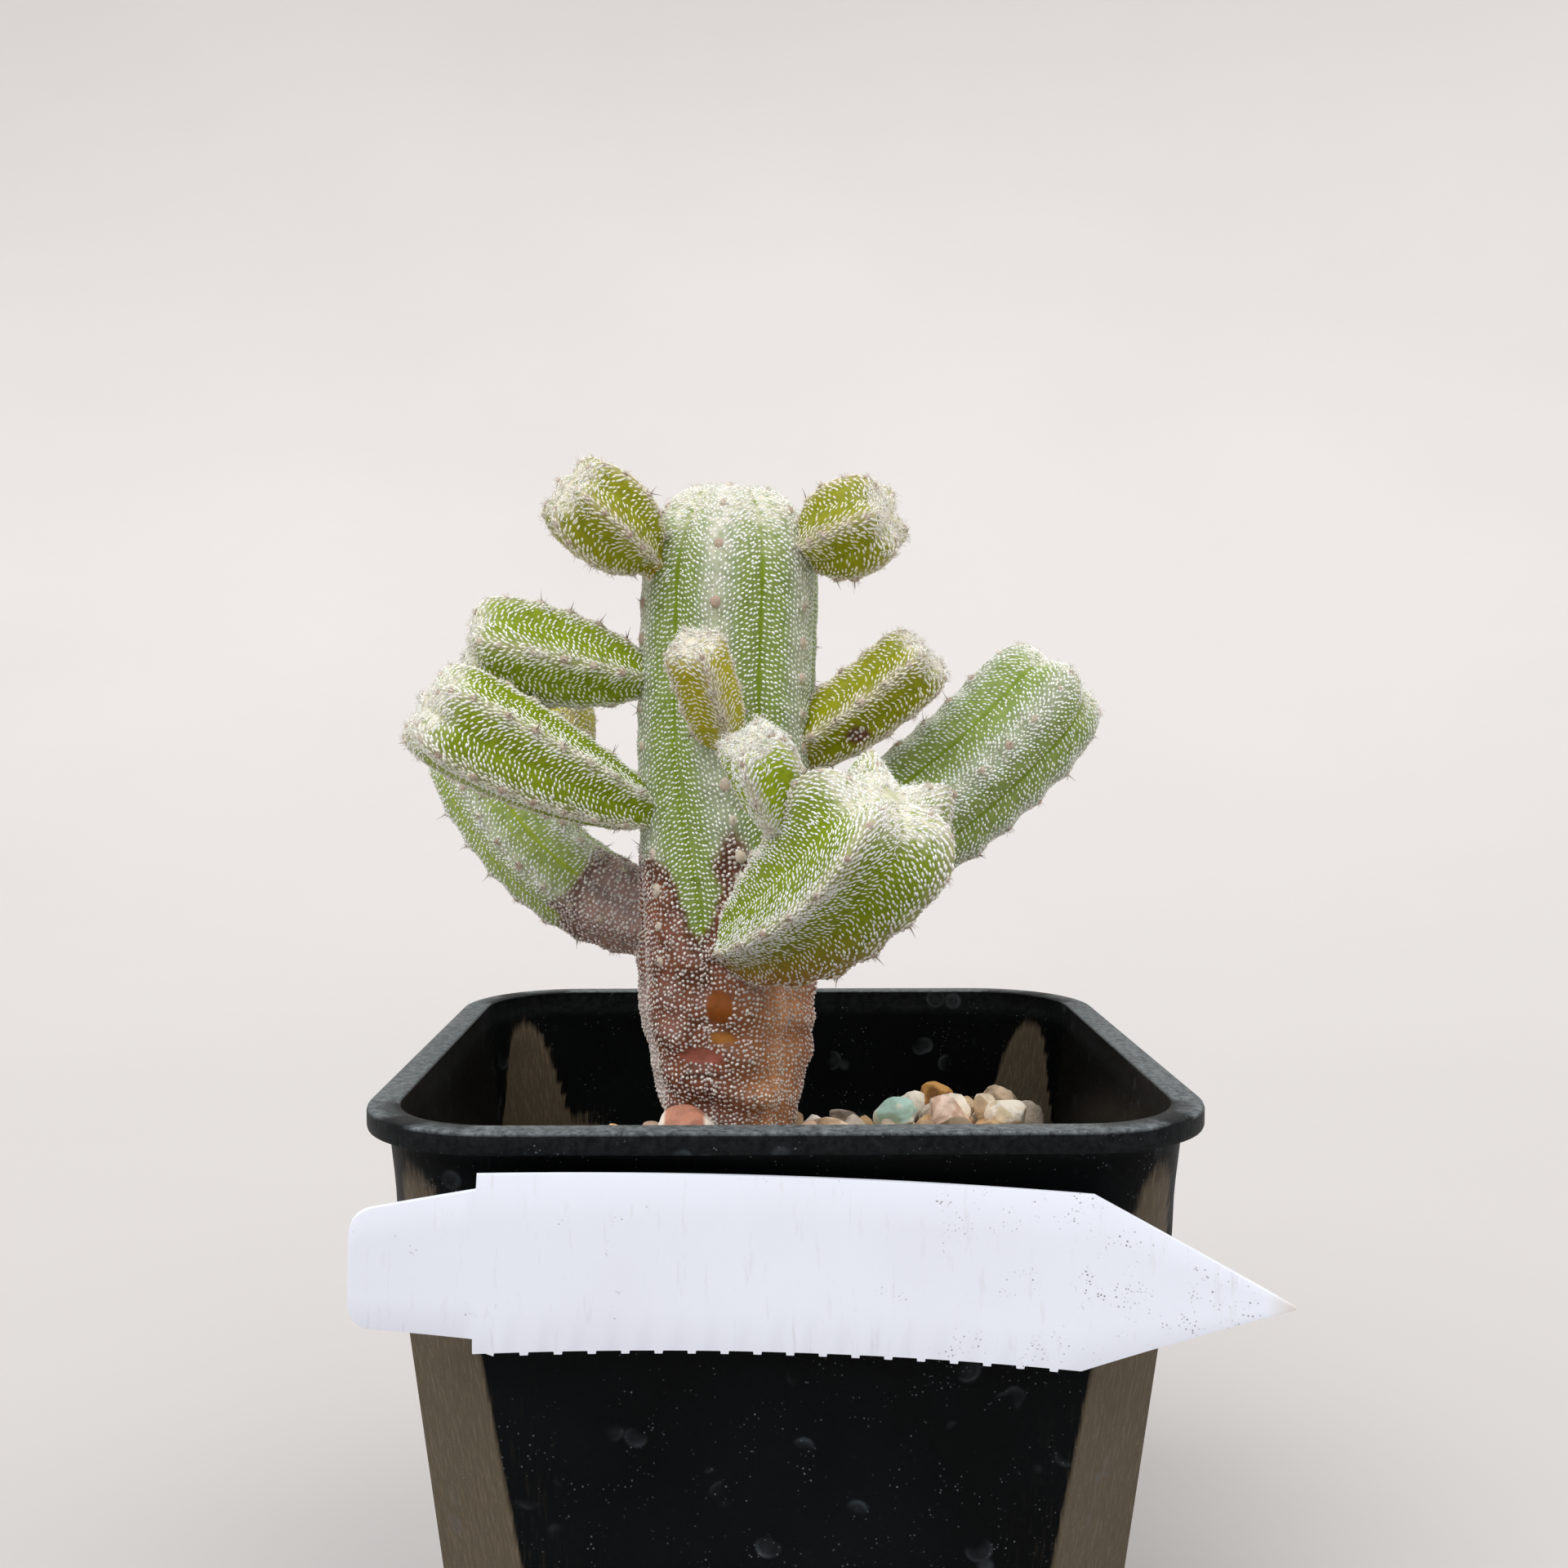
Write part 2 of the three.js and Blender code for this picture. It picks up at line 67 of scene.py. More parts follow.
def toLinear(hexColour):
    parts = [int(hexColour[i:i + 2], 16) / 255 for i in (1, 3, 5)]
    return tuple(c / 12.92 if c <= 0.04045 else ((c + 0.055) / 1.055) ** 2.4 for c in parts) + (1.0,)


def asColour(value):
    return toLinear(value) if isinstance(value, str) and value[0] == "#" else value


def linearRow(hexColour):
    return np.array(toLinear(hexColour)[:3])


def between(value, low, high):
    return np.clip((value - low) / (high - low), 0, 1)


def ease(share):
    return share * share * (3 - 2 * share)


# The socket that a link starts from: a node's first output, or the colour of a mix.
def outputOf(source):
    if not isinstance(source, tuple):
        source = (source, 2 if source.bl_idname == "ShaderNodeMix" else 0)
    giver, output = source
    return giver.outputs[output]


def link(material, node, socket, source):
    material.node_tree.links.new(outputOf(source), node.inputs[socket])


# Adds one node. Settings are fields or unlinked sockets, links are socket: node or (node, output).
# Two settings stand for several: stops of a colour ramp, and the range that a value is mapped from and to.
def addNode(material, kind, settings=None, links=None):
    node = material.node_tree.nodes.new("ShaderNode" + kind)
    if kind == "Mix":
        node.data_type = "RGBA"
    for name, value in (settings or {}).items():
        if name == "stops":
            ramp = node.color_ramp
            while len(ramp.elements) < len(value):
                ramp.elements.new(0.5)
            for element, (place, colour) in zip(ramp.elements, value):
                element.position = place
                element.color = asColour(colour)
        elif name == "range":
            for socket, bound in enumerate(value, 1):
                node.inputs[socket].default_value = bound
        elif isinstance(name, str) and hasattr(node, name):
            setattr(node, name, value)
        else:
            node.inputs[name].default_value = asColour(value)
    for name, source in (links or {}).items():
        link(material, node, name, source)
    return node


# A material with what adds a node to it, what links to its shader, and the link to the piece's own places.
def startMaterial(name, sockets):
    material = bpy.data.materials.new(name)
    material.use_nodes = True
    shader = material.node_tree.nodes["Principled BSDF"]
    for socket, value in sockets.items():
        shader.inputs[socket].default_value = value
    add, plug = partial(addNode, material), partial(link, material, shader)
    return material, add, plug, {"Vector": (add("TexCoord"), "Object")}


def grey(value):
    return (value, value, value, 1)


# The last steps of every piece: shading, material, what it rides on, and hiding the imported part of the node
# it stands for.
def finishPiece(piece, node, material, smoothAngle=None):
    if smoothAngle:
        smoothShade(piece, smoothAngle)
    piece.data.materials.clear()
    piece.data.materials.append(material)
    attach(piece, "root")
    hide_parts(node)
    finished.append(piece)


def paint(piece, name, colours):
    layer = piece.data.attributes.new(name, "FLOAT_COLOR", "POINT")
    rgba = np.ones((len(colours), 4), np.float32)
    rgba[:, :3] = colours
    layer.data.foreach_set("color", rgba.ravel())


def measure(piece, name, values):
    layer = piece.data.attributes.new(name, "FLOAT", "POINT")
    layer.data.foreach_set("value", np.asarray(values, np.float32))


def coordsOf(mesh):
    flat = np.empty(len(mesh.vertices) * 3)
    mesh.vertices.foreach_get("co", flat)
    return flat.reshape(-1, 3)


def setCoords(mesh, coords):
    mesh.vertices.foreach_set("co", np.asarray(coords, np.float32).ravel())
    mesh.update()


# A skin over rings with equally many points: a filled circle is extruded from ring to ring.
def loft(name, rings, openEnd=False):
    pickNone()
    bpy.ops.mesh.primitive_circle_add(vertices=len(rings[0]), radius=0.01, fill_type="NGON")
    piece = bpy.context.object
    piece.name = piece.data.name = name
    bpy.ops.object.mode_set(mode="EDIT")
    bpy.ops.mesh.select_all(action="SELECT")
    shape = bmesh.from_edit_mesh(piece.data)
    for vert, point in zip(shape.verts, rings[0]):
        vert.co = point
    bmesh.update_edit_mesh(piece.data)
    before = rings[0]
    for ring in rings[1:]:
        order = {tuple(Vector(point)): k for k, point in enumerate(before)}
        bpy.ops.mesh.extrude_region_move()
        shape = bmesh.from_edit_mesh(piece.data)
        for vert in [v for v in shape.verts if v.select]:
            vert.co = ring[order[tuple(vert.co)]]
        bmesh.update_edit_mesh(piece.data)
        before = ring
    if openEnd:
        bpy.ops.mesh.delete(type="ONLY_FACE")
    bpy.ops.mesh.select_all(action="SELECT")
    bpy.ops.mesh.normals_make_consistent(inside=False)
    bpy.ops.object.mode_set(mode="OBJECT")
    return piece


# Copies of one small model, each with its own place, axes, size and colour, in one mesh.
def scatter(name, model, places, axes, sizes, colours):
    corners, faces = model
    count, each = len(places), len(corners)
    spread = corners[None, :, :] * sizes[:, None, :]
    points = places[:, None, :] + np.einsum("nki,nij->nkj", spread, axes)
    mesh = bpy.data.meshes.new(name)
    loops = np.concatenate([np.array(f) for f in faces])
    starts = np.cumsum([0] + [len(f) for f in faces[:-1]])
    totals = np.array([len(f) for f in faces])
    allLoops = (loops[None, :] + (np.arange(count) * each)[:, None]).ravel()
    allStarts = (starts[None, :] + (np.arange(count) * len(loops))[:, None]).ravel()
    mesh.vertices.add(count * each)
    mesh.vertices.foreach_set("co", points.astype(np.float32).ravel())
    mesh.loops.add(len(allLoops))
    mesh.loops.foreach_set("vertex_index", allLoops.astype(np.int32))
    mesh.polygons.add(len(allStarts))
    mesh.polygons.foreach_set("loop_start", allStarts.astype(np.int32))
    mesh.polygons.foreach_set("loop_total", np.tile(totals, count).astype(np.int32))
    mesh.polygons.foreach_set("use_smooth", np.ones(len(allStarts), bool))
    mesh.update(calc_edges=True)
    piece = bpy.data.objects.new(name, mesh)
    bpy.context.scene.collection.objects.link(piece)
    paint(piece, "tint", np.repeat(colours, each, axis=0))
    return piece


# Reads a modelled thing's corners and faces, then takes it out of the scene.
def takeModel(thing):
    corners = coordsOf(thing.data)
    faces = [tuple(p.vertices) for p in thing.data.polygons]
    bpy.data.objects.remove(thing, do_unlink=True)
    return corners, faces


# Camera, light and floor
photo = {
    "place": (-4.13 * mm, -226.02 * mm, 133.97 * mm),
    "pitchDown": 2.06, "turnRight": 1.10, "roll": 0.08,
    "focal": 38.0, "sensor": 36.0, "clip": (0.01, 20),
}
studio = {
    "floorRadius": 0.45, "coveRadius": 1.7, "coveHeight": 1.12, "coveSteps": 20, "coveSides": 96,
    "paper": "#cac7c6", "paperThin": "#c6c3c2",
    "worldColour": "#fbfbfc", "worldStrength": 0.80,
    # name: direction that the light comes from, strength, how wide it looks in degrees, colour
    "lamps": {
        "window_left": ((-0.50, -0.66, 0.95), 1.75, 40, "#fffefc"),
        "fill_right": ((0.62, -0.50, 0.90), 0.95, 50, "#fffbf6"),
    },
}

bpy.ops.object.camera_add(location=photo["place"])
camera = bpy.context.object
camera.name = "photo_camera"
pitch, turn = photo["pitchDown"] * deg, photo["turnRight"] * deg
ahead = Vector((math.sin(turn) * math.cos(pitch), math.cos(turn) * math.cos(pitch), -math.sin(pitch)))
camera.rotation_mode = "QUATERNION"
camera.rotation_quaternion = ahead.to_track_quat("-Z", "Y") @ Quaternion((0, 0, 1), photo["roll"] * deg)
camera.data.lens = photo["focal"]
camera.data.sensor_width = photo["sensor"]
camera.data.clip_start, camera.data.clip_end = photo["clip"]
bpy.context.scene.camera = camera
bpy.context.scene.view_settings.view_transform = "Standard"
bpy.context.scene.view_settings.look = "None"

for lampName, (place, power, wide, colour) in studio["lamps"].items():
    bpy.ops.object.light_add(type="SUN", location=place)
    lamp = bpy.context.object
    lamp.name = lampName
    lamp.data.energy = power
    lamp.data.angle = wide * deg
    lamp.data.color = toLinear(colour)[:3]
    lamp.rotation_euler = (-Vector(place)).to_track_quat("-Z", "Y").to_euler()

world = bpy.data.worlds.new("pale_room")
world.use_nodes = True
bpy.context.scene.world = world
sky = world.node_tree.nodes["Background"]
sky.inputs["Color"].default_value = toLinear(studio["worldColour"])
sky.inputs["Strength"].default_value = studio["worldStrength"]


# Painted board, matt emulsion: even and pale, with slow clouds where the coat is thinner.
def paintedBoard():
    material, add, plug, spot = startMaterial("matt_emulsion_board",
                                              {"Roughness": 0.9, "Specular IOR Level": 0.2})
    clouds = add("TexNoise", {"Scale": 2.2, "Detail": 5.0, "Roughness": 0.55}, spot)
    colour = add("ValToRGB", {"stops": [(0.3, studio["paperThin"]), (0.7, studio["paper"])]}, {0: clouds})
    plug("Base Color", colour)
    grain = add("TexNoise", {"Scale": 700.0, "Detail": 2.0}, spot)
    relief = add("Bump", {"Strength": 0.05, "Distance": 0.0002}, {"Height": grain})
    plug("Normal", relief)
    return material


coveRings = []
for k in range(studio["coveSteps"] + 1):
    bend = k / studio["coveSteps"] * math.pi / 2
    radius = studio["floorRadius"] + (studio["coveRadius"] - studio["floorRadius"]) * math.sin(bend)
    height = studio["coveHeight"] * (1 - math.cos(bend))
    coveRings.append([(radius * math.cos(a), radius * math.sin(a), height)
                      for a in np.linspace(0, 2 * math.pi, studio["coveSides"], endpoint=False)])
cove = loft("studio_cove", coveRings, openEnd=True)
cove.data.flip_normals()
cove.data.materials.append(paintedBoard())
smoothShade(cove, 30)
print("camera, light and floor done")

# Pot
pot = {
    "height": 90, "rimWidth": 98, "rimCorner": 17, "rimHeight": 2.6, "bodyWidth": 92.8, "baseWidth": 76.4,
    "wall": 1.3, "floor": 1.6, "roundCorner": 14, "facetTop": 8, "facetBase": 14, "facetSettles": 24,
    "cornerSteps": 14, "sideShares": (0.011, 0.12, 0.3, 0.5, 0.7, 0.88, 0.989),
    "holeRadius": 4.5, "holeOffset": 21,
    "levels": [0, 0.5, 8, 20, 32, 44, 56, 62, 66, 69, 72, 74, 76, 78, 80, 82, 84, 86, 87.4],
    # inset from the rim's widest line, height
    "rimProfile": [(0.5, 87.4), (0.12, 87.52), (0, 87.85), (0, 89.55), (0.12, 89.88), (0.45, 90)],
    # painted reflection, a pale sheen on the corner facets: depths where it starts and is full, how it
    # widens, its edge's softness at the foot and at its point, depths where it comes out of the rim's shade,
    # how much stronger it is inside
    "sheenDepth": (2, 22), "sheenWidens": 0.7, "sheenEdge": (0.08, 0.4),
    "sheenShade": (2.8, 8), "sheenInside": 1.8,
    # the facet colours are painted reflections on the corner facets, outside and inside the pot; the scuff
    # grey is partly real scuffing and partly painted reflection on the rim's top
    "black": "#040607", "worn": "#0a0e10", "dust": "#6b7275", "scuffAndSheen": "#7e8689", "facetSheen": "#655b4b",
    "facetSheenInside": "#5d5547",
}


def halfAt(z):
    top = pot["height"] - pot["rimHeight"]
    return (pot["baseWidth"] + (pot["bodyWidth"] - pot["baseWidth"]) * z / top) / 2


def facetAt(z):
    return pot["facetTop"] + (pot["facetBase"] - pot["facetTop"]) * (pot["height"] - z) / pot["height"]


# One level of the pot: its corners turn from a round arc into a flat facet lower down.
def squareRing(half, z, radius, facet, crisp):
    ring = []
    for corner in range(4):
        turnBy = corner * math.pi / 2
        cosT, sinT = math.cos(turnBy), math.sin(turnBy)
        places = []
        for step in range(pot["cornerSteps"] + 1):
            t = step / pot["cornerSteps"]
            arcX = half - radius + radius * math.cos(t * math.pi / 2)
            arcY = half - radius + radius * math.sin(t * math.pi / 2)
            places.append((arcX + (half - facet * t - arcX) * crisp,
                           arcY + (half - facet * (1 - t) - arcY) * crisp))
        endX, endY = places[-1]
        for share in pot["sideShares"]:
            places.append((endX - 2 * endX * share, endY))
        ring += [((x * cosT - y * sinT) * mm, (x * sinT + y * cosT) * mm, z * mm) for x, y in places]
    return ring


def bodyRing(z, inset):
    depth = pot["height"] - z
    crisp = ease(between(depth, 1, pot["facetSettles"]))
    return squareRing(halfAt(z) - inset, z, pot["roundCorner"] - inset, facetAt(z) - inset * 0.6, crisp)


def rimRing(inset, z):
    return squareRing(pot["rimWidth"] / 2 - inset, z, pot["rimCorner"] - inset, 0, 0)


# Black polypropylene, injection moulded with a fine sparked grain: dull sheen, dust and dried rain drops;
# painted reflection on the corner facets, and partly on the rim's top.
def pottingPlastic():
    material, add, plug, spot = startMaterial("black_polypropylene_moulded",
                                              {"IOR": 1.49, "Specular IOR Level": 0.05})
    # broad change between fresh and sun-worn black
    wear = add("TexNoise", {"Scale": 38.0, "Detail": 6.0, "Roughness": 0.6}, spot)
    body = add("ValToRGB", {"stops": [(0.38, pot["black"]), (0.72, pot["worn"])]}, {0: wear})
    # drawn marks run up and down the wall: 0.4 mm wide, 8 mm long
    upright = add("Mapping", {"Scale": (2400.0, 2400.0, 120.0)}, spot)
    streaks = add("TexNoise", {"Scale": 1.0, "Detail": 3.0, "Roughness": 0.7}, {"Vector": upright})
    streakMask = add("MapRange", {"range": (0.52, 0.78, 0.0, 0.55)}, {0: streaks})
    # the corner attribute marks where the painted reflection lies on the corner facets; the streaks make its
    # edge ragged
    cornerSheenShare = add("Attribute", {"attribute_name": "corner"})
    uneven = add("Math", {"operation": "MULTIPLY_ADD", 1: 0.7, 2: -0.35}, {0: streaks})
    ragged = add("Math", {"operation": "ADD"}, {0: uneven, 1: (cornerSheenShare, "Fac")})
    raggedSheen = add("MapRange", {"range": (0.35, 0.95, 0.0, 0.72)}, {0: ragged})
    sheenStreak = add("Math", {"operation": "MULTIPLY"}, {0: streakMask, 1: (cornerSheenShare, "Fac")})
    sheenShare = add("Math", {"operation": "ADD", "use_clamp": True}, {0: raggedSheen, 1: sheenStreak})
    # the painted reflection on the corner facets is paler inside the pot
    half = add("Math", {"operation": "MULTIPLY", 1: 0.5}, {0: (cornerSheenShare, "Fac")})
    sheenTone = add("ValToRGB", {"stops": [(0.5, pot["facetSheen"]), (0.8, pot["facetSheenInside"])]}, {0: half})
    brown = add("Mix", {}, {0: sheenShare, 6: body, 7: sheenTone})
    # dried drops: rings of lime 1 to 3 mm across, on some parts of the wall only
    drops = add("TexVoronoi", {"feature": "F1", "Scale": 210.0, "Randomness": 1.0}, spot)
    rings = add("ValToRGB", {"stops": [
        (0.0, grey(0.5)), (0.22, grey(0.35)), (0.30, grey(1.0)), (0.36, grey(0.0))
    ]}, {0: (drops, "Distance")})
    patchy = add("TexNoise", {"Scale": 95.0, "Detail": 3.0}, spot)
    patchMask = add("MapRange", {"range": (0.56, 0.70, 0.0, 0.36)}, {0: patchy})
    dropShare = add("Math", {"operation": "MULTIPLY"}, {0: rings, 1: patchMask})
    stained = add("Mix", {7: "#5d666b"}, {0: dropShare, 6: brown})
    # dust: specks of 0.2 to 0.4 mm
    specks = add("TexVoronoi", {"feature": "F1", "Scale": 1500.0}, spot)
    speckMask = add("MapRange", {"range": (0.20, 0.10, 0.0, 1.0)}, {0: (specks, "Distance")})
    few = add("TexNoise", {"Scale": 260.0, "Detail": 4.0, "Roughness": 0.7}, spot)
    fewMask = add("MapRange", {"range": (0.50, 0.66, 0.0, 0.85)}, {0: few})
    dustShare = add("Math", {"operation": "MULTIPLY"}, {0: speckMask, 1: fewMask})
    dusty = add("Mix", {7: pot["dust"]}, {0: dustShare, 6: stained})
    # the rim is painted grey along its top and outer edge: partly real scuffs, partly painted reflection
    rimShare = add("Attribute", {"attribute_name": "rim"})
    rub = add("TexNoise", {"Scale": 900.0, "Detail": 7.0, "Roughness": 0.8}, spot)
    rubMask = add("MapRange", {"range": (0.40, 0.64, 0.2, 0.9)}, {0: rub})
    rubAndSheenShare = add("Math", {"operation": "MULTIPLY"}, {0: rubMask, 1: (rimShare, "Fac")})
    scuffedAndSheened = add("Mix", {7: pot["scuffAndSheen"]}, {0: rubAndSheenShare, 6: dusty})
    plug("Base Color", scuffedAndSheened)
    rough = add("MapRange", {"range": (0.3, 0.7, 0.38, 0.55)}, {0: wear})
    plug("Roughness", rough)
    grain = add("TexNoise", {"Scale": 1600.0, "Detail": 4.0, "Roughness": 0.6}, spot)
    rough = add("Math", {"operation": "ADD"}, {0: grain, 1: streakMask})
    relief = add("Bump", {"Strength": 0.35, "Distance": 0.00012}, {"Height": rough})
    plug("Normal", relief)
    return material


def makePot():
    levels = pot["levels"]
    lip = (pot["rimWidth"] - pot["bodyWidth"]) / 2 + pot["wall"] - 0.1
    rings = [bodyRing(0, 0.5)] + [bodyRing(z, 0) for z in levels[1:]]
    rings += [rimRing(inset, z) for inset, z in pot["rimProfile"] + [(lip - 0.35, 90), (lip, 89.85)]]
    rings += [bodyRing(z, pot["wall"]) for z in [89.3] + levels[:1:-1] + [2.2]]
    rings += [bodyRing(pot["floor"], pot["wall"] + 0.6)]
    piece = loft("pot_finish", rings)
    # drain holes
    pickNone()
    cutters = []
    for sx in (-1, 1):
        for sy in (-1, 1):
            bpy.ops.mesh.primitive_cylinder_add(
                vertices=32, radius=pot["holeRadius"] * mm, depth=6 * mm,
                location=(sx * pot["holeOffset"] * mm, sy * pot["holeOffset"] * mm, 0.8 * mm))
            cutters.append(bpy.context.object)
    pickOnly(*cutters)
    bpy.ops.object.join()
    cut = piece.modifiers.new("drain holes", "BOOLEAN")
    cut.object = cutters[0]
    cut.solver = "EXACT"
    pickOnly(piece)
    bpy.ops.object.modifier_apply(modifier=cut.name)
    bpy.data.objects.remove(cutters[0], do_unlink=True)
    co = coordsOf(piece.data) / mm
    z, outX, outY = co[:, 2], np.abs(co[:, 0]), np.abs(co[:, 1])
    depth, half, facet = pot["height"] - z, halfAt(z), facetAt(z)
    widest = np.maximum(outX, outY)
    # 0 along the facet's middle, 1 at its edges; the painted pale reflection on it narrows to a point under
    # the rim
    aside = np.abs(outX - outY) / facet
    reach = between(depth, *pot["sheenDepth"]) ** pot["sheenWidens"]
    crisp, soft = pot["sheenEdge"]
    cornerSheen = ease(between((reach + 0.03 - aside) / (crisp + soft * (1 - reach)), -0.7, 0.3))
    cornerSheen = cornerSheen * between(depth, *pot["sheenShade"])
    inside = (widest < half - 0.8) & (outX + outY < 2 * half - facet - 0.9) & (depth > 0.5)
    measure(piece, "corner", cornerSheen * np.where(inside, pot["sheenInside"], 1))
    # where the rim's grey goes, mostly on its top: partly real scuffs and partly painted reflection
    onTop = between(z, 89.75, 89.88) * between(widest, 45.2, 45.5)
    measure(piece, "rim", onTop + 0.06 * (z > 87.3))
    return piece


finishPiece(makePot(), "pot", pottingPlastic(), smoothAngle=38)
print("pot done")

# Gravel
gravel = {
    "level": 72.4, "inset": 1.65, "bottom": 1.95,
    "stem": (-6.9, 0.0), "stemClear": 9.4,
    # count, size range in mm, ico subdivisions, how far the centre stands over the bed
    "coarse": (150, (4.6, 7.4), 3, 0.3),
    "medium": (420, (2.4, 4.2), 2, 0.1),
    "fine": (900, (0.9, 1.9), 1, 0.1),
    "seed": 41,
    # the bed: its fall and over what depth, the heap's height with its place and reach in x and in y,
    # the collar round the stem and how far it spreads
    "fall": (7.5, 40), "heap": (8.2, 27, 16, 28, 14), "collar": (7.5, 420),
    "bedShares": (1, 0.98, 0.94, 0.89, 0.84, 0.79, 0.74, 0.69, 0.64, 0.59, 0.54, 0.49, 0.44, 0.39, 0.34, 0.3,
                  0.26,
                  0.22, 0.18, 0.14, 0.1, 0.06),
    "tints": ["#e3d3b8", "#d6bd9a", "#efe6d6", "#c5a47a", "#a58a6c", "#bca088", "#deb98c", "#f5eee0",
              "#cdbfae", "#b2855c", "#94816c", "#d8cfbd"],
}
looseStones = {
    # node: slot, tint, second tint, seed
    "stone_terracotta": ("stone_terracotta", "#b47a62", "#ece0d4", 3),
    "stone_shell_white": ("stone_pale", "#ece4da", "#cfc0ae", 9),
    "stone_buff": ("stone_pale", "#dcc6a8", "#b79c7c", 14),
    "stone_turquoise": ("stone_turquoise", "#b4d8cc", "#e3e9dc", 21),
    "stone_pink": ("stone_pale", "#efd5c3", "#d3b09a", 27),
    "stone_ivory": ("stone_pale", "#f4ebda", "#dcc9a8", 33),
    "stone_ochre": ("stone_brown", "#c99653", "#9a6a36", 38),
    "stone_sand": ("stone_brown", "#d0b99e", "#a08a72", 45),
    "stone_grey": ("stone_brown", "#a09084", "#776a5f", 52),
}


def bedHeight(x, y):
    (drop, far), (rise, spread) = gravel["fall"], gravel["collar"]
    high, heapX, wide, heapY, deep = gravel["heap"]
    fall = drop * between(y, 0, far)
    heap = high * np.exp(-((x - heapX) / wide) ** 2 - ((y - heapY) / deep) ** 2)
    collar = rise * np.exp(-((x - gravel["stem"][0]) ** 2 + (y - gravel["stem"][1]) ** 2) / spread)
    return gravel["level"] - fall + heap + collar


# Potting mix of peat and bark, sifted: brown-black, crumbly.
def pottingMix():
    material, add, plug, spot = startMaterial("peat_and_bark_mix",
                                              {"Roughness": 0.95, "Specular IOR Level": 0.25})
    crumbs = add("TexVoronoi", {"Scale": 900.0}, spot)
    damp = add("TexNoise", {"Scale": 160.0, "Detail": 6.0}, spot)
    blend = add("Math", {"operation": "MULTIPLY"}, {0: (crumbs, "Distance"), 1: damp})
    colour = add("ValToRGB", {"stops": [
        (0.05, "#1d1510"), (0.2, "#3a2c20"), (0.45, "#6b573f")]}, {0: blend})
    plug("Base Color", colour)
    relief = add("Bump", {"Strength": 0.8, "Distance": 0.0006}, {"Height": blend})
    plug("Normal", relief)
    return material


# Broken stone, unwashed: matt, grainy, each piece its own colour with paler veins and darker grains.
def brokenStone(name, grainScale, roughness):
    material, add, plug, spot = startMaterial(name, {"Roughness": roughness, "IOR": 1.54})
    own = add("Attribute", {"attribute_name": "tint"})
    veins = add("TexNoise", {"Scale": grainScale / 4, "Detail": 6.0, "Distortion": 0.8}, spot)
    veinTone = add("ValToRGB", {"stops": [
        (0.3, grey(0.82)), (0.5, grey(1.12)), (0.75, grey(1.4))]}, {0: veins})
    veined = add("Mix", {"blend_type": "MULTIPLY", 0: 1.0},
                 {6: (own, "Color"), 7: veinTone})
    crystals = add("TexVoronoi", {"Scale": grainScale}, spot)
    dark = add("MapRange", {"range": (0.0, 0.35, 0.16, 0.0)}, {0: (crystals, "Distance")})
    grainy = add("Mix", {7: "#5a4636"}, {0: dark, 6: veined})
    plug("Base Color", grainy)
    fine = add("TexNoise", {"Scale": grainScale * 1.5, "Detail": 5.0}, spot)
    relief = add("Bump", {"Strength": 0.6, "Distance": 0.0003}, {"Height": fine})
    plug("Normal", relief)
    return material


# Breaks an ico sphere along random planes, with the edges rubbed round.
def breakStone(coords, seed, facets=11, roundness=14.0):
    rng = np.random.default_rng(seed)
    normals = rng.normal(size=(facets, 3))
    normals /= np.linalg.norm(normals, axis=1)[:, None]
    offsets = rng.uniform(0.66, 0.98, facets)
    rays = coords / np.linalg.norm(coords, axis=1)[:, None]
    facing = np.maximum(rays @ normals.T, 0.02) / offsets
    reach = (facing ** roundness).sum(1) ** (-1 / roundness)
    reach = np.minimum(reach, 1.15)
    return rays * reach[:, None]


def stoneModel(detail, seed):
    pickNone()
    bpy.ops.mesh.primitive_ico_sphere_add(subdivisions=detail, radius=1)
    stone = bpy.context.object
    corners, faces = takeModel(stone)
    corners = breakStone(corners, seed)
    span = corners.max(0) - corners.min(0)
    return (corners - (corners.max(0) + corners.min(0)) / 2) / span.max() * 2, faces


def makeBed():
    inset = gravel["inset"]
    rings = [bodyRing(z, inset) for z in (gravel["bottom"], 20, 40, 60, 68)]
    brim = bodyRing(gravel["level"] - 2, inset)
    for share in gravel["bedShares"]:
        ring = []
        for x, y, _ in brim:
            px, py = x * share, y * share
            lump = noise.noise(Vector((px * 300, py * 300, 4))) * 0.7
            drop = 2.6 if share < 1 else 3.2
            ring.append((px, py, (float(bedHeight(px / mm, py / mm)) - drop + lump) * mm))
        rings.append(ring)
    return loft("potting_mix", rings)


def insideBed(x, y, margin):
    half = halfAt(gravel["level"]) - gravel["inset"] - margin
    return (np.maximum(abs(x), abs(y)) < half) & (abs(x) + abs(y) < 2 * half - 7)


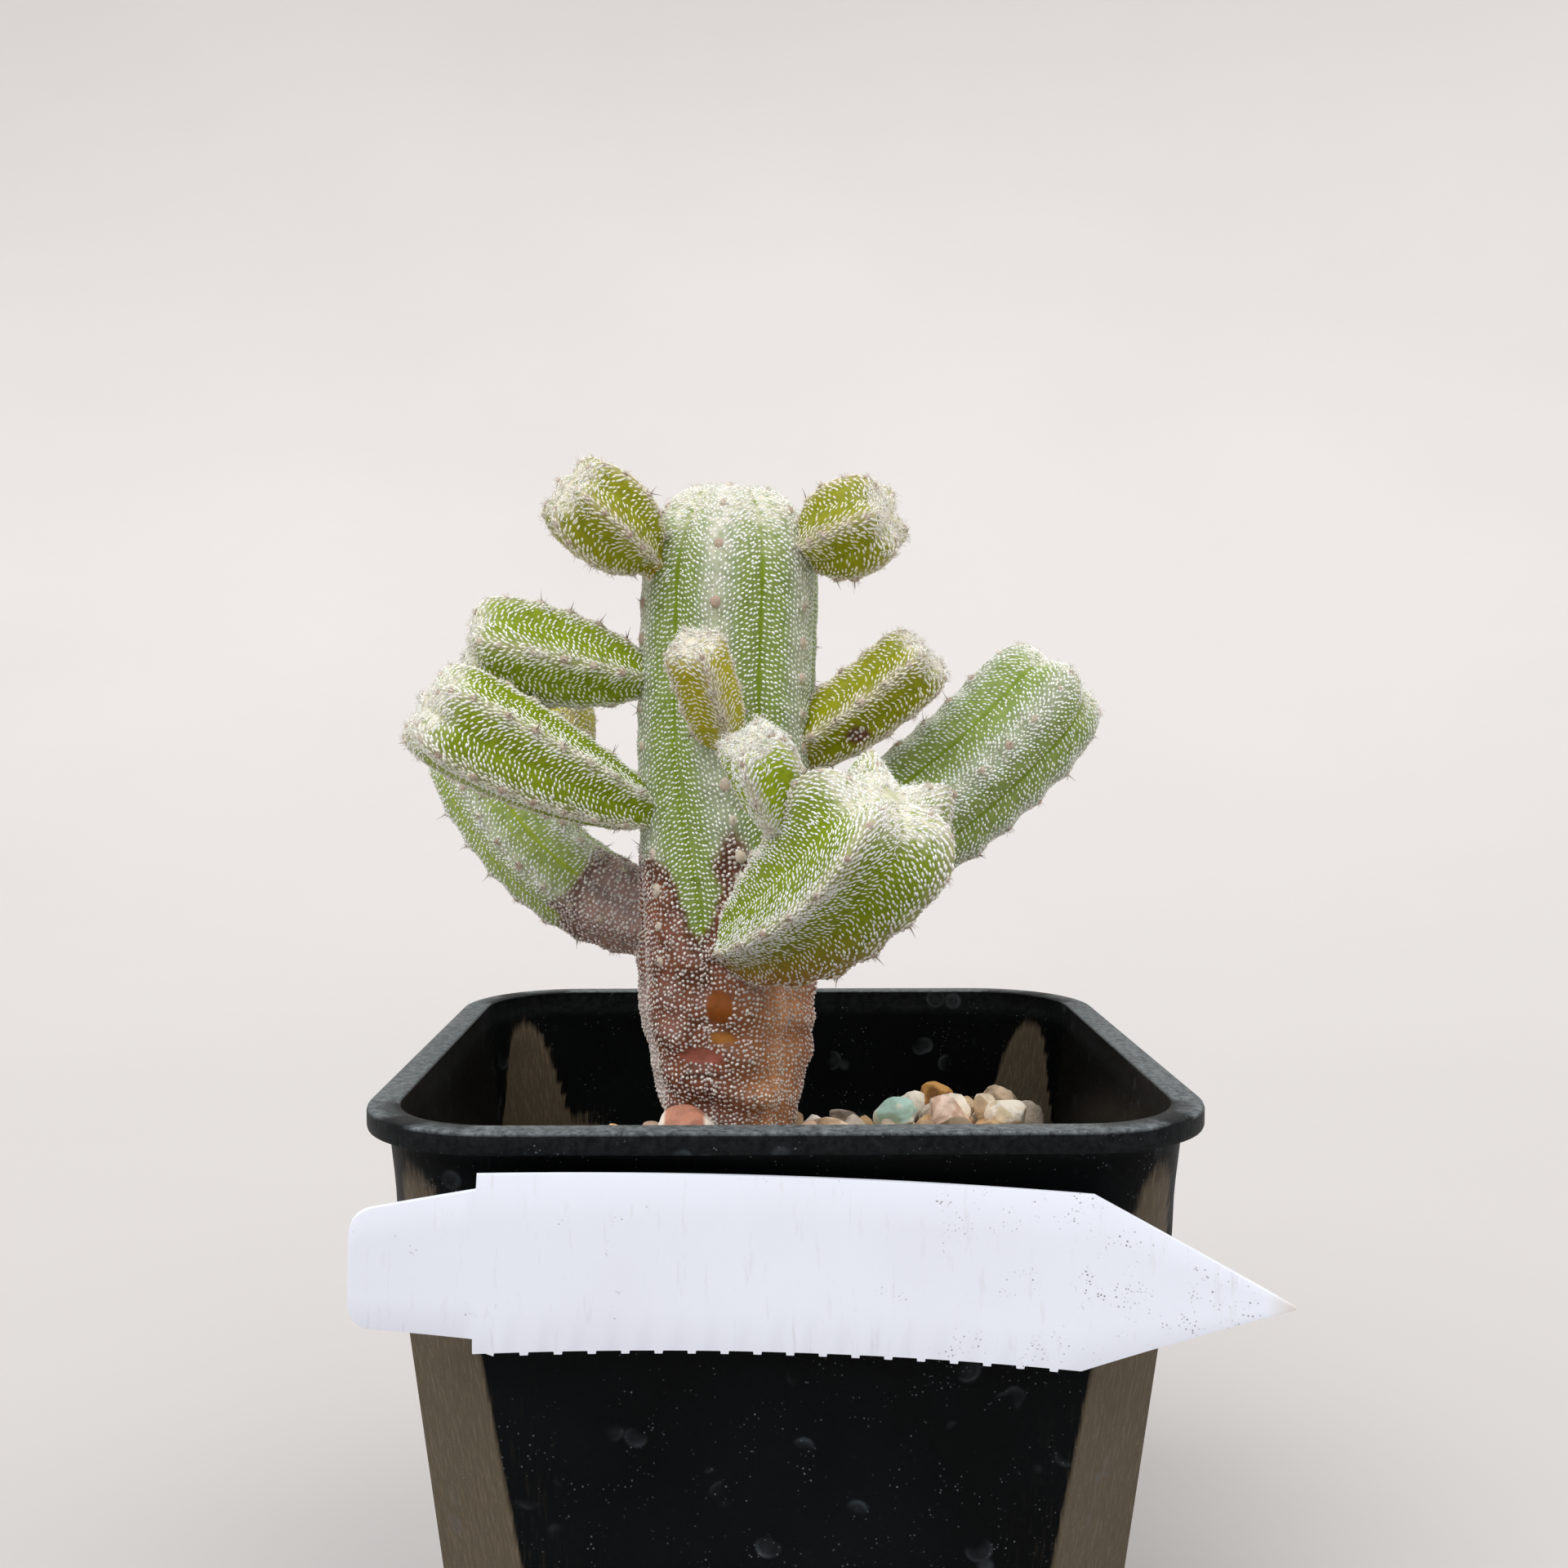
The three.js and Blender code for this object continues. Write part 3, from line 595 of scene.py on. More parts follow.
def scatterGrit(name, count, sizeRange, detail, rise, seed):
    rng = np.random.default_rng(seed)
    kept = []
    cells = {}
    tries = 0
    while len(kept) < count and tries < count * 60:
        tries += 1
        x, y = rng.uniform(-45, 45, 2)
        size = rng.uniform(*sizeRange)
        away = math.hypot(x - gravel["stem"][0], y - gravel["stem"][1])
        if not insideBed(x, y, size / 2) or away < gravel["stemClear"] + size * 0.4:
            continue
        cell = (int(x // 8), int(y // 8))
        near = [q for i in (-1, 0, 1) for j in (-1, 0, 1) for q in cells.get((cell[0] + i, cell[1] + j), [])]
        if any(math.hypot(x - q[0], y - q[1]) < 0.36 * (size + q[2]) for q in near):
            continue
        cells.setdefault(cell, []).append((x, y, size))
        kept.append((x, y, size))
    kept = np.array(kept)
    count = len(kept)
    high = bedHeight(kept[:, 0], kept[:, 1]) - 2.0 + kept[:, 2] * rise + rng.uniform(-0.3, 0.5, count)
    places = np.stack([kept[:, 0], kept[:, 1], high], 1) * mm
    spin = rng.normal(size=(count, 4))
    spin /= np.linalg.norm(spin, axis=1)[:, None]
    w, x, y, z = spin.T
    axes = np.stack([
        np.stack([1 - 2 * (y * y + z * z), 2 * (x * y + z * w), 2 * (x * z - y * w)], 1),
        np.stack([2 * (x * y - z * w), 1 - 2 * (x * x + z * z), 2 * (y * z + x * w)], 1),
        np.stack([2 * (x * z + y * w), 2 * (y * z - x * w), 1 - 2 * (x * x + y * y)], 1)], 1)
    half = kept[:, 2] * mm / 2
    sizes = np.stack([half * rng.uniform(0.9, 1.1, count), half * rng.uniform(0.75, 1, count),
                      half * rng.uniform(0.6, 0.9, count)], 1)
    palette = np.array([linearRow(c) for c in gravel["tints"]])
    colours = palette[rng.integers(0, len(palette), count)] * rng.uniform(0.88, 1.18, (count, 1))
    pieces = []
    kinds = 3 if detail > 1 else 1
    which = rng.integers(0, kinds, count)
    for kind in range(kinds):
        mine = which == kind
        pieces.append(scatter(f"{name}_{kind}", stoneModel(detail, seed + kind), places[mine], axes[mine],
                              sizes[mine], colours[mine]))
    pickOnly(*pieces)
    if len(pieces) > 1:
        bpy.ops.object.join()
    pieces[0].name = pieces[0].data.name = name
    return pieces[0]


gritStone = brokenStone("pumice_and_granite_grit", 1500.0, 0.88)
finishPiece(makeBed(), "gravel", pottingMix(), smoothAngle=60)
for order, part in enumerate(("coarse", "medium", "fine")):
    piece = scatterGrit(f"grit_{part}", *gravel[part], seed=gravel["seed"] + 10 * order)
    finishPiece(piece, "gravel", gritStone, smoothAngle=32)

stoneSurface = {
    "stone_pale": brokenStone("limestone_broken", 1100.0, 0.8),
    "stone_brown": brokenStone("sandstone_broken", 1300.0, 0.9),
    "stone_turquoise": brokenStone("chrysocolla_chip", 900.0, 0.62),
    "stone_terracotta": brokenStone("fired_clay_chip", 1400.0, 0.6),
}
for node, (slotName, tint, other, seed) in looseStones.items():
    low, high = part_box(node)
    pickNone()
    bpy.ops.mesh.primitive_ico_sphere_add(subdivisions=5, radius=1)
    piece = bpy.context.object
    piece.name = piece.data.name = node + "_finish"
    shape = breakStone(coordsOf(piece.data), seed, facets=13,
                       roundness=18.0 if node != "stone_terracotta" else 8.0)
    for k, p in enumerate(shape):
        dent = 0.035 * noise.noise(Vector(p) * 3.2 + Vector((seed, 0, 0)))
        shape[k] = p * (1 + dent + 0.012 * noise.noise(Vector(p) * 11))
    middle, reach = (shape.max(0) + shape.min(0)) / 2, (shape.max(0) - shape.min(0)) / 2
    fit = (shape - middle) / reach
    centre, half = (np.array(low) + np.array(high)) / 2, (np.array(high) - np.array(low)) / 2
    setCoords(piece.data, centre + fit * half)
    if node == "stone_terracotta":
        share = between(np.abs(fit[:, 0] + 0.1), 0.62, 0.72)  # pale rind at both ends of the chip
    else:
        share = np.array([between(noise.noise(Vector(p) * 1.7 + Vector((0, seed, 0))), 0.05,
                                  0.3) for p in fit])
    paint(piece, "tint", linearRow(tint) + (linearRow(other) - linearRow(tint)) * np.asarray(share)[:, None])
    finishPiece(piece, node, stoneSurface[slotName], smoothAngle=40)
print("gravel and stones done")

# Label
label = {
    "length": 100, "height": 20, "thickness": 0.6, "bowRadius": 178, "tilt": -2.65, "centre": (3.75, 74.8),
    "tabLength": 12.6, "atNotch": 16.6, "atEnd": 12.6, "tabCorner": 2.2, "point": 21.5,
    "nubPitch": 3.6, "nubWidth": 0.9, "nubHeight": 0.35, "standsOff": 1.7, "wallLean": (8.2, 87.4),
    "white": "#e9effc", "dirt": "#55504a", "tip": "#c9b79a",
}


def labelEdges(u):
    half = label["length"] / 2
    tabEnd = -half + label["tabLength"]
    if u > half - label["point"]:
        share = (half - u) / label["point"]
        return -0.25 - 9.75 * share, -0.25 + 10.25 * share
    if u < tabEnd:
        share = (u + half) / label["tabLength"]
        reach = (label["atEnd"] + (label["atNotch"] - label["atEnd"]) * share) / 2
        out = label["tabCorner"] - (u + half)
        if out > 0:
            reach -= label["tabCorner"] - math.sqrt(max(0, label["tabCorner"] ** 2 - out * out))
        return -reach, reach
    # small nubs are left along the lower edge where the sheet was torn along its perforation
    along = (u - tabEnd) % label["nubPitch"]
    clear = tabEnd + 2 < u < half - label["point"] - 2
    nub = label["nubHeight"] if clear and abs(along - label["nubPitch"] / 2) < label["nubWidth"] / 2 else 0
    return -10 - nub, 10


def onFront(u, v, out):
    lean = math.atan2(*label["wallLean"])
    tilt = label["tilt"] * deg
    x = u * math.cos(tilt) - v * math.sin(tilt)
    up = u * math.sin(tilt) + v * math.cos(tilt)
    back = -halfAt(label["centre"][1]) - label["standsOff"]
    bowed = -u * u / (2 * label["bowRadius"]) - out
    return ((label["centre"][0] + x) * mm, (back + bowed * math.cos(lean) - up * math.sin(lean)) * mm,
            (label["centre"][1] + up * math.cos(lean)) * mm)


# White PVC sheet, calendered: even satin white, here with soil specks, thumb marks and fine scratches.
def labelSheet():
    material, add, plug, spot = startMaterial("white_pvc_sheet_satin",
                                              {"IOR": 1.53, "Subsurface Weight": 0.0})
    tone = add("TexNoise", {"Scale": 45.0, "Detail": 4.0}, spot)
    white = add("ValToRGB", {"stops": [(0.3, "#e4e9f6"), (0.7, label["white"])]}, {0: tone})
    # soil specks of 0.15 to 0.3 mm, thick near the right third, few elsewhere
    axes = add("SeparateXYZ", {}, {0: spot["Vector"]})
    rightEnd = add("MapRange", {"range": (0.010, 0.030, 0.0, 1.0)}, {0: (axes, "X")})
    specks = add("TexVoronoi", {"Scale": 2200.0}, spot)
    speckMask = add("MapRange", {"range": (0.30, 0.16, 0.0, 1.0)}, {0: (specks, "Distance")})
    groups = add("TexNoise", {"Scale": 240.0, "Detail": 4.0, "Roughness": 0.65}, spot)
    groupLevel = add("Math", {"operation": "MULTIPLY_ADD", 1: 0.10, 2: 0.0}, {0: rightEnd})
    groupSum = add("Math", {"operation": "ADD"}, {0: groups, 1: groupLevel})
    groupMask = add("MapRange", {"range": (0.62, 0.72, 0.0, 0.85)}, {0: groupSum})
    dirtShare = add("Math", {"operation": "MULTIPLY"}, {0: speckMask, 1: groupMask})
    dirty = add("Mix", {7: label["dirt"]}, {0: dirtShare, 6: white})
    # faint grey rub marks
    rubMap = add("Mapping", {"Scale": (1000.0, 1000.0, 70.0), "Rotation": (0.0, 0.12, 0.0)}, spot)
    rub = add("TexNoise", {"Scale": 1.0, "Detail": 5.0, "Roughness": 0.7}, {"Vector": rubMap})
    rubMask = add("MapRange", {"range": (0.58, 0.80, 0.0, 0.4)}, {0: rub})
    rubbed = add("Mix", {7: "#b9b6b4"}, {0: rubMask, 6: dirty})
    tipShare = add("MapRange", {"range": (0.0505, 0.0535, 0.0, 0.6)}, {0: (axes, "X")})
    tipped = add("Mix", {7: label["tip"]}, {0: tipShare, 6: rubbed})
    plug("Base Color", tipped)
    rough = add("MapRange", {"range": (0.3, 0.7, 0.36, 0.5)}, {0: tone})
    plug("Roughness", rough)
    fine = add("TexNoise", {"Scale": 1400.0, "Detail": 3.0}, spot)
    relief = add("Bump", {"Strength": 0.08, "Distance": 0.00005}, {"Height": fine})
    plug("Normal", relief)
    return material


def makeLabel():
    half = label["length"] / 2
    tabEnd = -half + label["tabLength"]
    stations = list(np.linspace(-half, -half + label["tabCorner"],
                                7)) + list(np.linspace(-half + 3, tabEnd - 0.02, 10))
    stations += [tabEnd + 0.02]
    nubStart = tabEnd + label["nubPitch"] / 2
    while nubStart < half - label["point"]:
        for edge in (-0.02, 0.02):
            stations += [nubStart - label["nubWidth"] / 2 + edge, nubStart + label["nubWidth"] / 2 + edge]
        stations += [nubStart + label["nubPitch"] / 2]
        nubStart += label["nubPitch"]
    stations = sorted(u for u in stations if u <= half - label["point"])
    stations += list(np.linspace(half - label["point"], half - 0.25, 16))
    rows = 5
    pickNone()
    bpy.ops.mesh.primitive_grid_add(x_subdivisions=len(stations) - 1, y_subdivisions=rows - 1, size=2)
    piece = bpy.context.object
    piece.name = piece.data.name = "label_finish"
    coords = coordsOf(piece.data)
    for k, (gx, gy, _) in enumerate(coords):
        u = stations[int(round((gx + 1) / 2 * (len(stations) - 1)))]
        low, high = labelEdges(u)
        share = (gy + 1) / 2
        coords[k] = onFront(u, low + (high - low) * share, label["thickness"])
    setCoords(piece.data, coords)
    wall = piece.modifiers.new("sheet", "SOLIDIFY")
    wall.thickness = label["thickness"] * mm
    wall.offset = -1
    soften = piece.modifiers.new("cut edge", "BEVEL")
    soften.width = 0.07 * mm
    soften.segments = 2
    soften.limit_method = "ANGLE"
    soften.angle_limit = 50 * deg
    pickOnly(piece)
    for modifier in (wall.name, soften.name):
        bpy.ops.object.modifier_apply(modifier=modifier)
    return piece


finishPiece(makeLabel(), "label", labelSheet(), smoothAngle=30)


# Closed-cell polyethylene foam, cut: chalky white with open cut cells.
def foamTape():
    material, add, plug, spot = startMaterial("polyethylene_foam_tape", {"Roughness": 0.85})
    cells = add("TexVoronoi", {"Scale": 2600.0}, spot)
    colour = add("ValToRGB", {"stops": [(0.0, "#b9b3a6"), (0.5, "#e9e5db")]}, {0: (cells, "Distance")})
    plug("Base Color", colour)
    relief = add("Bump", {"Strength": 0.5, "Distance": 0.0002}, {"Height": (cells, "Distance")})
    plug("Normal", relief)
    return material


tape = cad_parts["label_tape"]
tapeSurface = foamTape()
for place in tape.material_slots:
    place.material = tapeSurface
print("label done")

# Cactus: each head grows from foot to tip along a bowed axis, in millimetres
# turn is where its first rib points, in degrees from the viewer's side; keen is 0 for round ribs, 1 for sharp
# values of a head that its own entry does not name
plainHead = dict(bow=(0, 0, 0), neck=0.4, collar=0.1, swell=0.5, shoulder=0.8, round=0.5, ribs=5, turn=0,
                 depth=0.17, keen=0.5, horn=0.03, dip=0.1, areoles=4, bare=0.12, wool=1.0)
heads = {
    "main_stem": dict(foot=(-6.9, 0.6, 77), tip=(-6.4, 0, 166.4), bow=(-1.1, 0, 0), radius=12.4, neck=0.58,
                      collar=0, swell=0.27, shoulder=0.84, round=0.72, ribs=6, turn=-8, depth=0.1,
                      keen=0.05, horn=0, dip=0.04, areoles=16, bare=0.34, tone="grey", wool=0.7),
    "top_left": dict(foot=(-15.5, -4, 154.2), tip=(-28.1, -13, 164.8), radius=6.8, collar=0.2, swell=0.6,
                     shoulder=0.62, ribs=6, turn=2, tone="lime", wool=0.8),
    "top_right": dict(foot=(0.6, -3, 156.6), tip=(14.1, -11, 161.6), radius=6.8, collar=0.2, swell=0.6,
                      shoulder=0.62, tone="lime", wool=0.8),
    "mid_left": dict(foot=(-16.4, -2, 139.7), tip=(-41.7, -8, 145.2), radius=6.9, swell=0.7, shoulder=0.76,
                     round=0.55, depth=0.16, keen=0.4, horn=0.02, areoles=5, tone="green", wool=0.8),
    "low_left_front": dict(foot=(-14.7, -4, 120.9), tip=(-45.7, -17, 136.9), bow=(-1, 0, -0.4), radius=7.4,
                           neck=0.36, swell=0.75, round=0.55, turn=34, depth=0.19, keen=0.6, areoles=7,
                           tone="green"),
    "low_left_back": dict(foot=(-15, 3, 106.8), tip=(-46.8, 18, 134.0), bow=(-3.4, 1.5, -5.2), radius=7.2,
                          neck=0.8, collar=0.05, shoulder=0.84, round=0.55, turn=-18, keen=0.3, horn=0.02,
                          areoles=8, tone="greyPaintedLighter", wool=0.4),
    "front_small": dict(foot=(-7.1, -8.5, 129.7), tip=(-11.7, -21, 144.6), radius=4.0, neck=0.5, ribs=4,
                        turn=10, depth=0.16, horn=0.08, tone="olive"),
    "front_big": dict(foot=(-11.2, -6, 102.4), tip=(12.9, -32, 127.3), bow=(3.3, -2, -2.4), radius=10.3,
                      neck=0.3, collar=0.12, swell=0.62, shoulder=0.76, round=0.6, turn=-12, depth=0.24,
                      keen=0.75, horn=0.17, dip=0.2, areoles=6, tone="fresh"),
    "shoulder_pup": dict(foot=(1.1, -20.5, 119.8), tip=(-4.5, -30, 132.7), radius=4.8, neck=0.6,
                         shoulder=0.74, ribs=4, turn=-30, depth=0.18, keen=0.6, horn=0.08, areoles=3,
                         tone="young", wool=1.6),
    "right_small": dict(foot=(-0.8, -1.5, 129.2), tip=(19.5, -6, 144.0), bow=(0.6, 0, -0.6), radius=5.5,
                        neck=0.55, round=0.55, turn=-6, horn=0.05, dip=0.08, areoles=5, tone="lime"),
    "right_big": dict(foot=(0.3, 2, 111.1), tip=(40.7, 13, 141.7), bow=(2.2, 0.5, -2.2), radius=9.9,
                      neck=0.6, collar=0.05, shoulder=0.83, round=0.6, depth=0.15, keen=0.2, horn=0.02,
                      dip=0.08, areoles=8, tone="grey", wool=0.7),
    "back_pup": dict(foot=(-32.4, 14.6, 116), tip=(-31.6, 20, 138.2), radius=4.6, neck=0.6, collar=0.2,
                     swell=0.7, shoulder=0.78, ribs=4, turn=20, depth=0.16, dip=0.05, tone="olive",
                     wool=0.5),
}
heads = {name: {**plainHead, **own} for name, own in heads.items()}
# skin colours: along the groove, on the face and near the crest, then the flecks on it
tones = {
    "grey": ("#728a06", "#7f9347", "#98a389", "#fbfefc"),
    "green": ("#7f930a", "#80920f", "#a0a66c", "#fffff6"),
    "lime": ("#868b04", "#898c04", "#a8a060", "#f6efdc"),
    "fresh": ("#7f930c", "#7d901e", "#a4a86f", "#ffffff"),
    # a copy of the grey tone painted lighter, to offset the shade that falls on the back offset
    "greyPaintedLighter": ("#93a41c", "#8ea055", "#abb397", "#ffffff"),
    "olive": ("#aea61e", "#aca626", "#c0ae80", "#faf2e0"),
    "young": ("#93a812", "#9aae20", "#dad8b4", "#ffffff"),
}
accents = {
    "felt": "#ebe5d8", "foot": "#b5823a", "underside": "#a87a34", "crack": "#23150f", "crestFleck": "#f4ead6",
    "crownFleck": "#fffcf6", "padCream": "#dcd2c2", "padBrown": "#a58d7c", "spine": "#8a7462",
}
bark = {
    "dark": "#4c2b1c", "main": "#85503a", "mauve": "#8c6259", "tan": "#d3986a", "pale": "#d2c8c6",
    "amber": "#86480a", "straw": "#a86e2a", "wine": "#b06a5c", "bead": "#fdf6f2",
    "edge": 116.5, "tongueDepth": 11.0, "tongueAt": -17.0, "tongueWidth": 15.0,
    # smooth bare patches: angle from the viewer's side, height, half width in degrees, half height, colour
    "patches": [(-4.5, 97.1, 9.5, 2.2, "amber"), (-2.5, 92.9, 9.0, 1.0, "straw"),
                (-18.5, 90.3, 16.0, 1.0, "wine")],
    "crack": (-18.0, 87.8, 16.0, 0.25),
    # corky scars: middle and how far they reach
    "scars": {"main_stem": ((-6.6, -11.8, 115.6), (2.3, 9, 4.2)),
              "right_small": ((9.9, -7.2, 132.6), (1.7, 9, 1.2))},
}
# millimetres, but for the points a groove and the lines across a half rib that lay the rows out
fleck = {"length": 0.73, "width": 0.41, "height": 0.13, "rowGap": 0.6, "along": 0.73, "sunk": 0.05,
         "grooveSteps": 400, "fanSteps": 13, "barkShift": 0.08}
# threads: length, thickness, colour and its lightness
threadKinds = {
    "tuft": ((0.4, 0.95), (0.022, 0.036), "#ece5d8", (0.7, 1.05)),
    "crown": ((0.8, 1.8), (0.036, 0.062), "#fefbf4", (0.88, 1.05)),
    "crest": ((0.5, 1.3), (0.03, 0.046), "#f6f0e4", (0.75, 1.1)),
}


def axisAt(head, s):
    foot, tip, bow = (np.array(head[k], float) for k in ("foot", "tip", "bow"))
    control = (foot + tip) / 2 + 2 * bow
    s = np.asarray(s, float)[..., None]
    place = (1 - s) ** 2 * foot + 2 * s * (1 - s) * control + s * s * tip
    along = 2 * (1 - s) * (control - foot) + 2 * s * (tip - control)
    along = along / np.linalg.norm(along, axis=-1, keepdims=True)
    viewer = np.array([0, -1.0, 0])
    front = viewer - along * (along @ viewer)[..., None]
    front /= np.linalg.norm(front, axis=-1, keepdims=True)
    return place, along, front, np.cross(along, front)


# The main stem's ribs lean over to the right towards its foot.
def ribTurn(head, place):
    if head is not heads["main_stem"]:
        return np.zeros(place.shape[:-1])
    return 24 * deg * ease(between(place[..., 2], 134, 103))


def lengthOf(head):
    return np.linalg.norm(np.array(head["tip"], float) - np.array(head["foot"], float))


def ridge(head, angle):
    w = head["ribs"] * (angle - head["turn"] * deg) / 2
    return (1 - head["keen"]) * np.abs(np.cos(w)) + head["keen"] * (1 - np.abs(np.sin(w)))


def sideShare(head):
    length = lengthOf(head)
    side = head["shoulder"] * length
    return side / (side + (length - side) + 0.75 * head["radius"])


# t runs from 0 at the foot, up the side and over the crown to 1.
def skinPoint(head, t, angle):
    part = sideShare(head)
    wall = np.clip(t / part, 0, 1)
    cap = np.clip((t - part) / (1 - part), 0, 1) * math.pi / 2
    s = head["shoulder"] * wall + (1 - head["shoulder"]) * np.sin(cap)
    place, along, front, side = axisAt(head, s)
    turned = angle - ribTurn(head, place)
    high = ridge(head, turned)
    g = np.clip((s - head["collar"]) / (head["swell"] - head["collar"]), 0, 1)
    neck = head["neck"] + (1 - head["neck"]) * np.sin(math.pi / 2 * g) ** 0.7
    horn = head["horn"] * high * high * np.exp(-((s - head["shoulder"] - 0.1) / 0.12) ** 2)
    dome = np.maximum(0, np.cos(cap)) ** head["round"]
    # the crests swell a little at each areole
    swing = 0.012 if head["ribs"] == 6 else 0.03
    swelling = -swing * high ** 4 * np.cos(2 * math.pi * head["areoles"] * wall)
    radius = head["radius"] * neck * dome * (1 - head["depth"] * (1 - high) + horn + swelling)
    lift = head["radius"] * (head["depth"] * (high - 0.45) * np.sin(2 * cap) - head["dip"] * np.sin(cap) ** 6)
    if head is heads["main_stem"]:
        # folds and lumps of its corky foot
        z = place[..., 2]
        folds = 0.3 * np.sin(z * 0.9 + 0.9 * np.sin(2 * angle)) * np.sin(z * 0.31 + angle)
        lumps = 0.26 * np.sin(3 * angle + z * 0.45 + 1.2 * np.sin(z * 0.6))
        lumps = lumps + 0.14 * np.sin(5 * angle - z * 0.83)
        radius = radius + (folds + lumps) * between(105 - z, 0, 8)
    radial = front * np.cos(angle)[..., None] + side * np.sin(angle)[..., None]
    return place + along * lift[..., None] + radial * radius[..., None], high, s


def skinFrame(head, t, angle):
    step, swing = 0.002, 0.01
    here, high, s = skinPoint(head, t, angle)
    up = skinPoint(head, np.minimum(t + step, 1), angle)[0] - skinPoint(head, np.maximum(t - step, 0),
                                                                        angle)[0]
    across = skinPoint(head, t, angle + swing)[0] - skinPoint(head, t, angle - swing)[0]
    up /= np.linalg.norm(up, axis=-1, keepdims=True) + 1e-12
    across -= up * (across * up).sum(-1, keepdims=True)
    across /= np.linalg.norm(across, axis=-1, keepdims=True) + 1e-12
    out = np.cross(across, up)
    return here, up, across, out, high, s


# How far points lie inside a head, in millimetres; below 0 is outside.
def depthIn(head, points):
    s = np.linspace(0, 1, 60)
    place, along, front, side = axisAt(head, s)
    gap = points[:, None, :] - place[None, :, :]
    nearest = (gap ** 2).sum(-1).argmin(1)
    gap = points - place[nearest]
    lengthwise = (gap * along[nearest]).sum(1)
    angle = np.arctan2((gap * side[nearest]).sum(1), (gap * front[nearest]).sum(1))
    part = sideShare(head)
    sHere = s[nearest]
    over = sHere > head["shoulder"]
    cap = np.arcsin(np.clip((sHere - head["shoulder"]) / (1 - head["shoulder"]), 0, 1))
    t = np.where(over, part + (1 - part) * cap / (math.pi / 2), part * sHere / head["shoulder"])
    skin, _, _ = skinPoint(head, t, angle)
    reach = np.linalg.norm(np.cross(skin - place[nearest], along[nearest]), axis=1)
    away = np.linalg.norm(np.cross(gap, along[nearest]), axis=1)
    return np.where(np.abs(lengthwise) > 1.5, -9, reach - away)


def clearOfOthers(name, points, allowed=0.1):
    kept = np.ones(len(points), bool)
    for other, head in heads.items():
        if other != name:
            kept &= depthIn(head, points) < allowed
    return kept


def mixRows(a, b, share):
    return a + (b - a) * np.asarray(share)[..., None]


def waves(points, scale, seed):
    return np.array([noise.noise(Vector(p * scale) + Vector((seed, -seed, 0.3 * seed))) for p in points])


# An angle round the stem, from -180 to 180 degrees.
def wrapped(angle):
    return (angle + math.pi) % (2 * math.pi) - math.pi


# How far points of the main stem lie from the middle of a spot; 1 is its edge.
def spotGap(angle, points, at, z, wide, tall):
    return ((wrapped(angle) / deg - at) / wide) ** 2 + ((points[:, 2] - z) / tall) ** 2


# 1 along the underside of the big front offset.
def underside(angle):
    return np.exp(-(((angle / deg) % 360 - 62) / 42) ** 2)


# How brown a place of the skin is: 1 on corky bark, and the share of the darker seam along its edge.
def barkShare(name, points, angle, s):
    rough = waves(points, 0.33, 5) * 2.2 + waves(points, 1.1, 8) * 0.9
    if name == "main_stem":
        tongueGap = (wrapped(angle) / deg - bark["tongueAt"]) / bark["tongueWidth"]
        tongue = bark["tongueDepth"] * np.exp(-tongueGap ** 2)
        below = bark["edge"] - tongue - points[:, 2] + rough
    elif name == "low_left_back":
        below = (0.30 - s) * 40 + rough
    elif name == "front_big":
        below = (0.16 - s) * 38 + rough - 5 * np.clip(-np.sin(angle), 0, 1)
    elif name == "right_big":
        below = (0.10 - s) * 45 + rough
    else:
        below = np.full(len(points), -9.0)
    if name in bark["scars"]:
        middle, reach = (np.array(v, float) for v in bark["scars"][name])
        gap = np.linalg.norm((points - middle) / reach, axis=1)
        below = np.maximum(below, (1 - gap) * 3 + rough * 0.4)
    return ease(between(below, -0.7, 0.7)), np.exp(-((below - 1.2) / 1.6) ** 2)


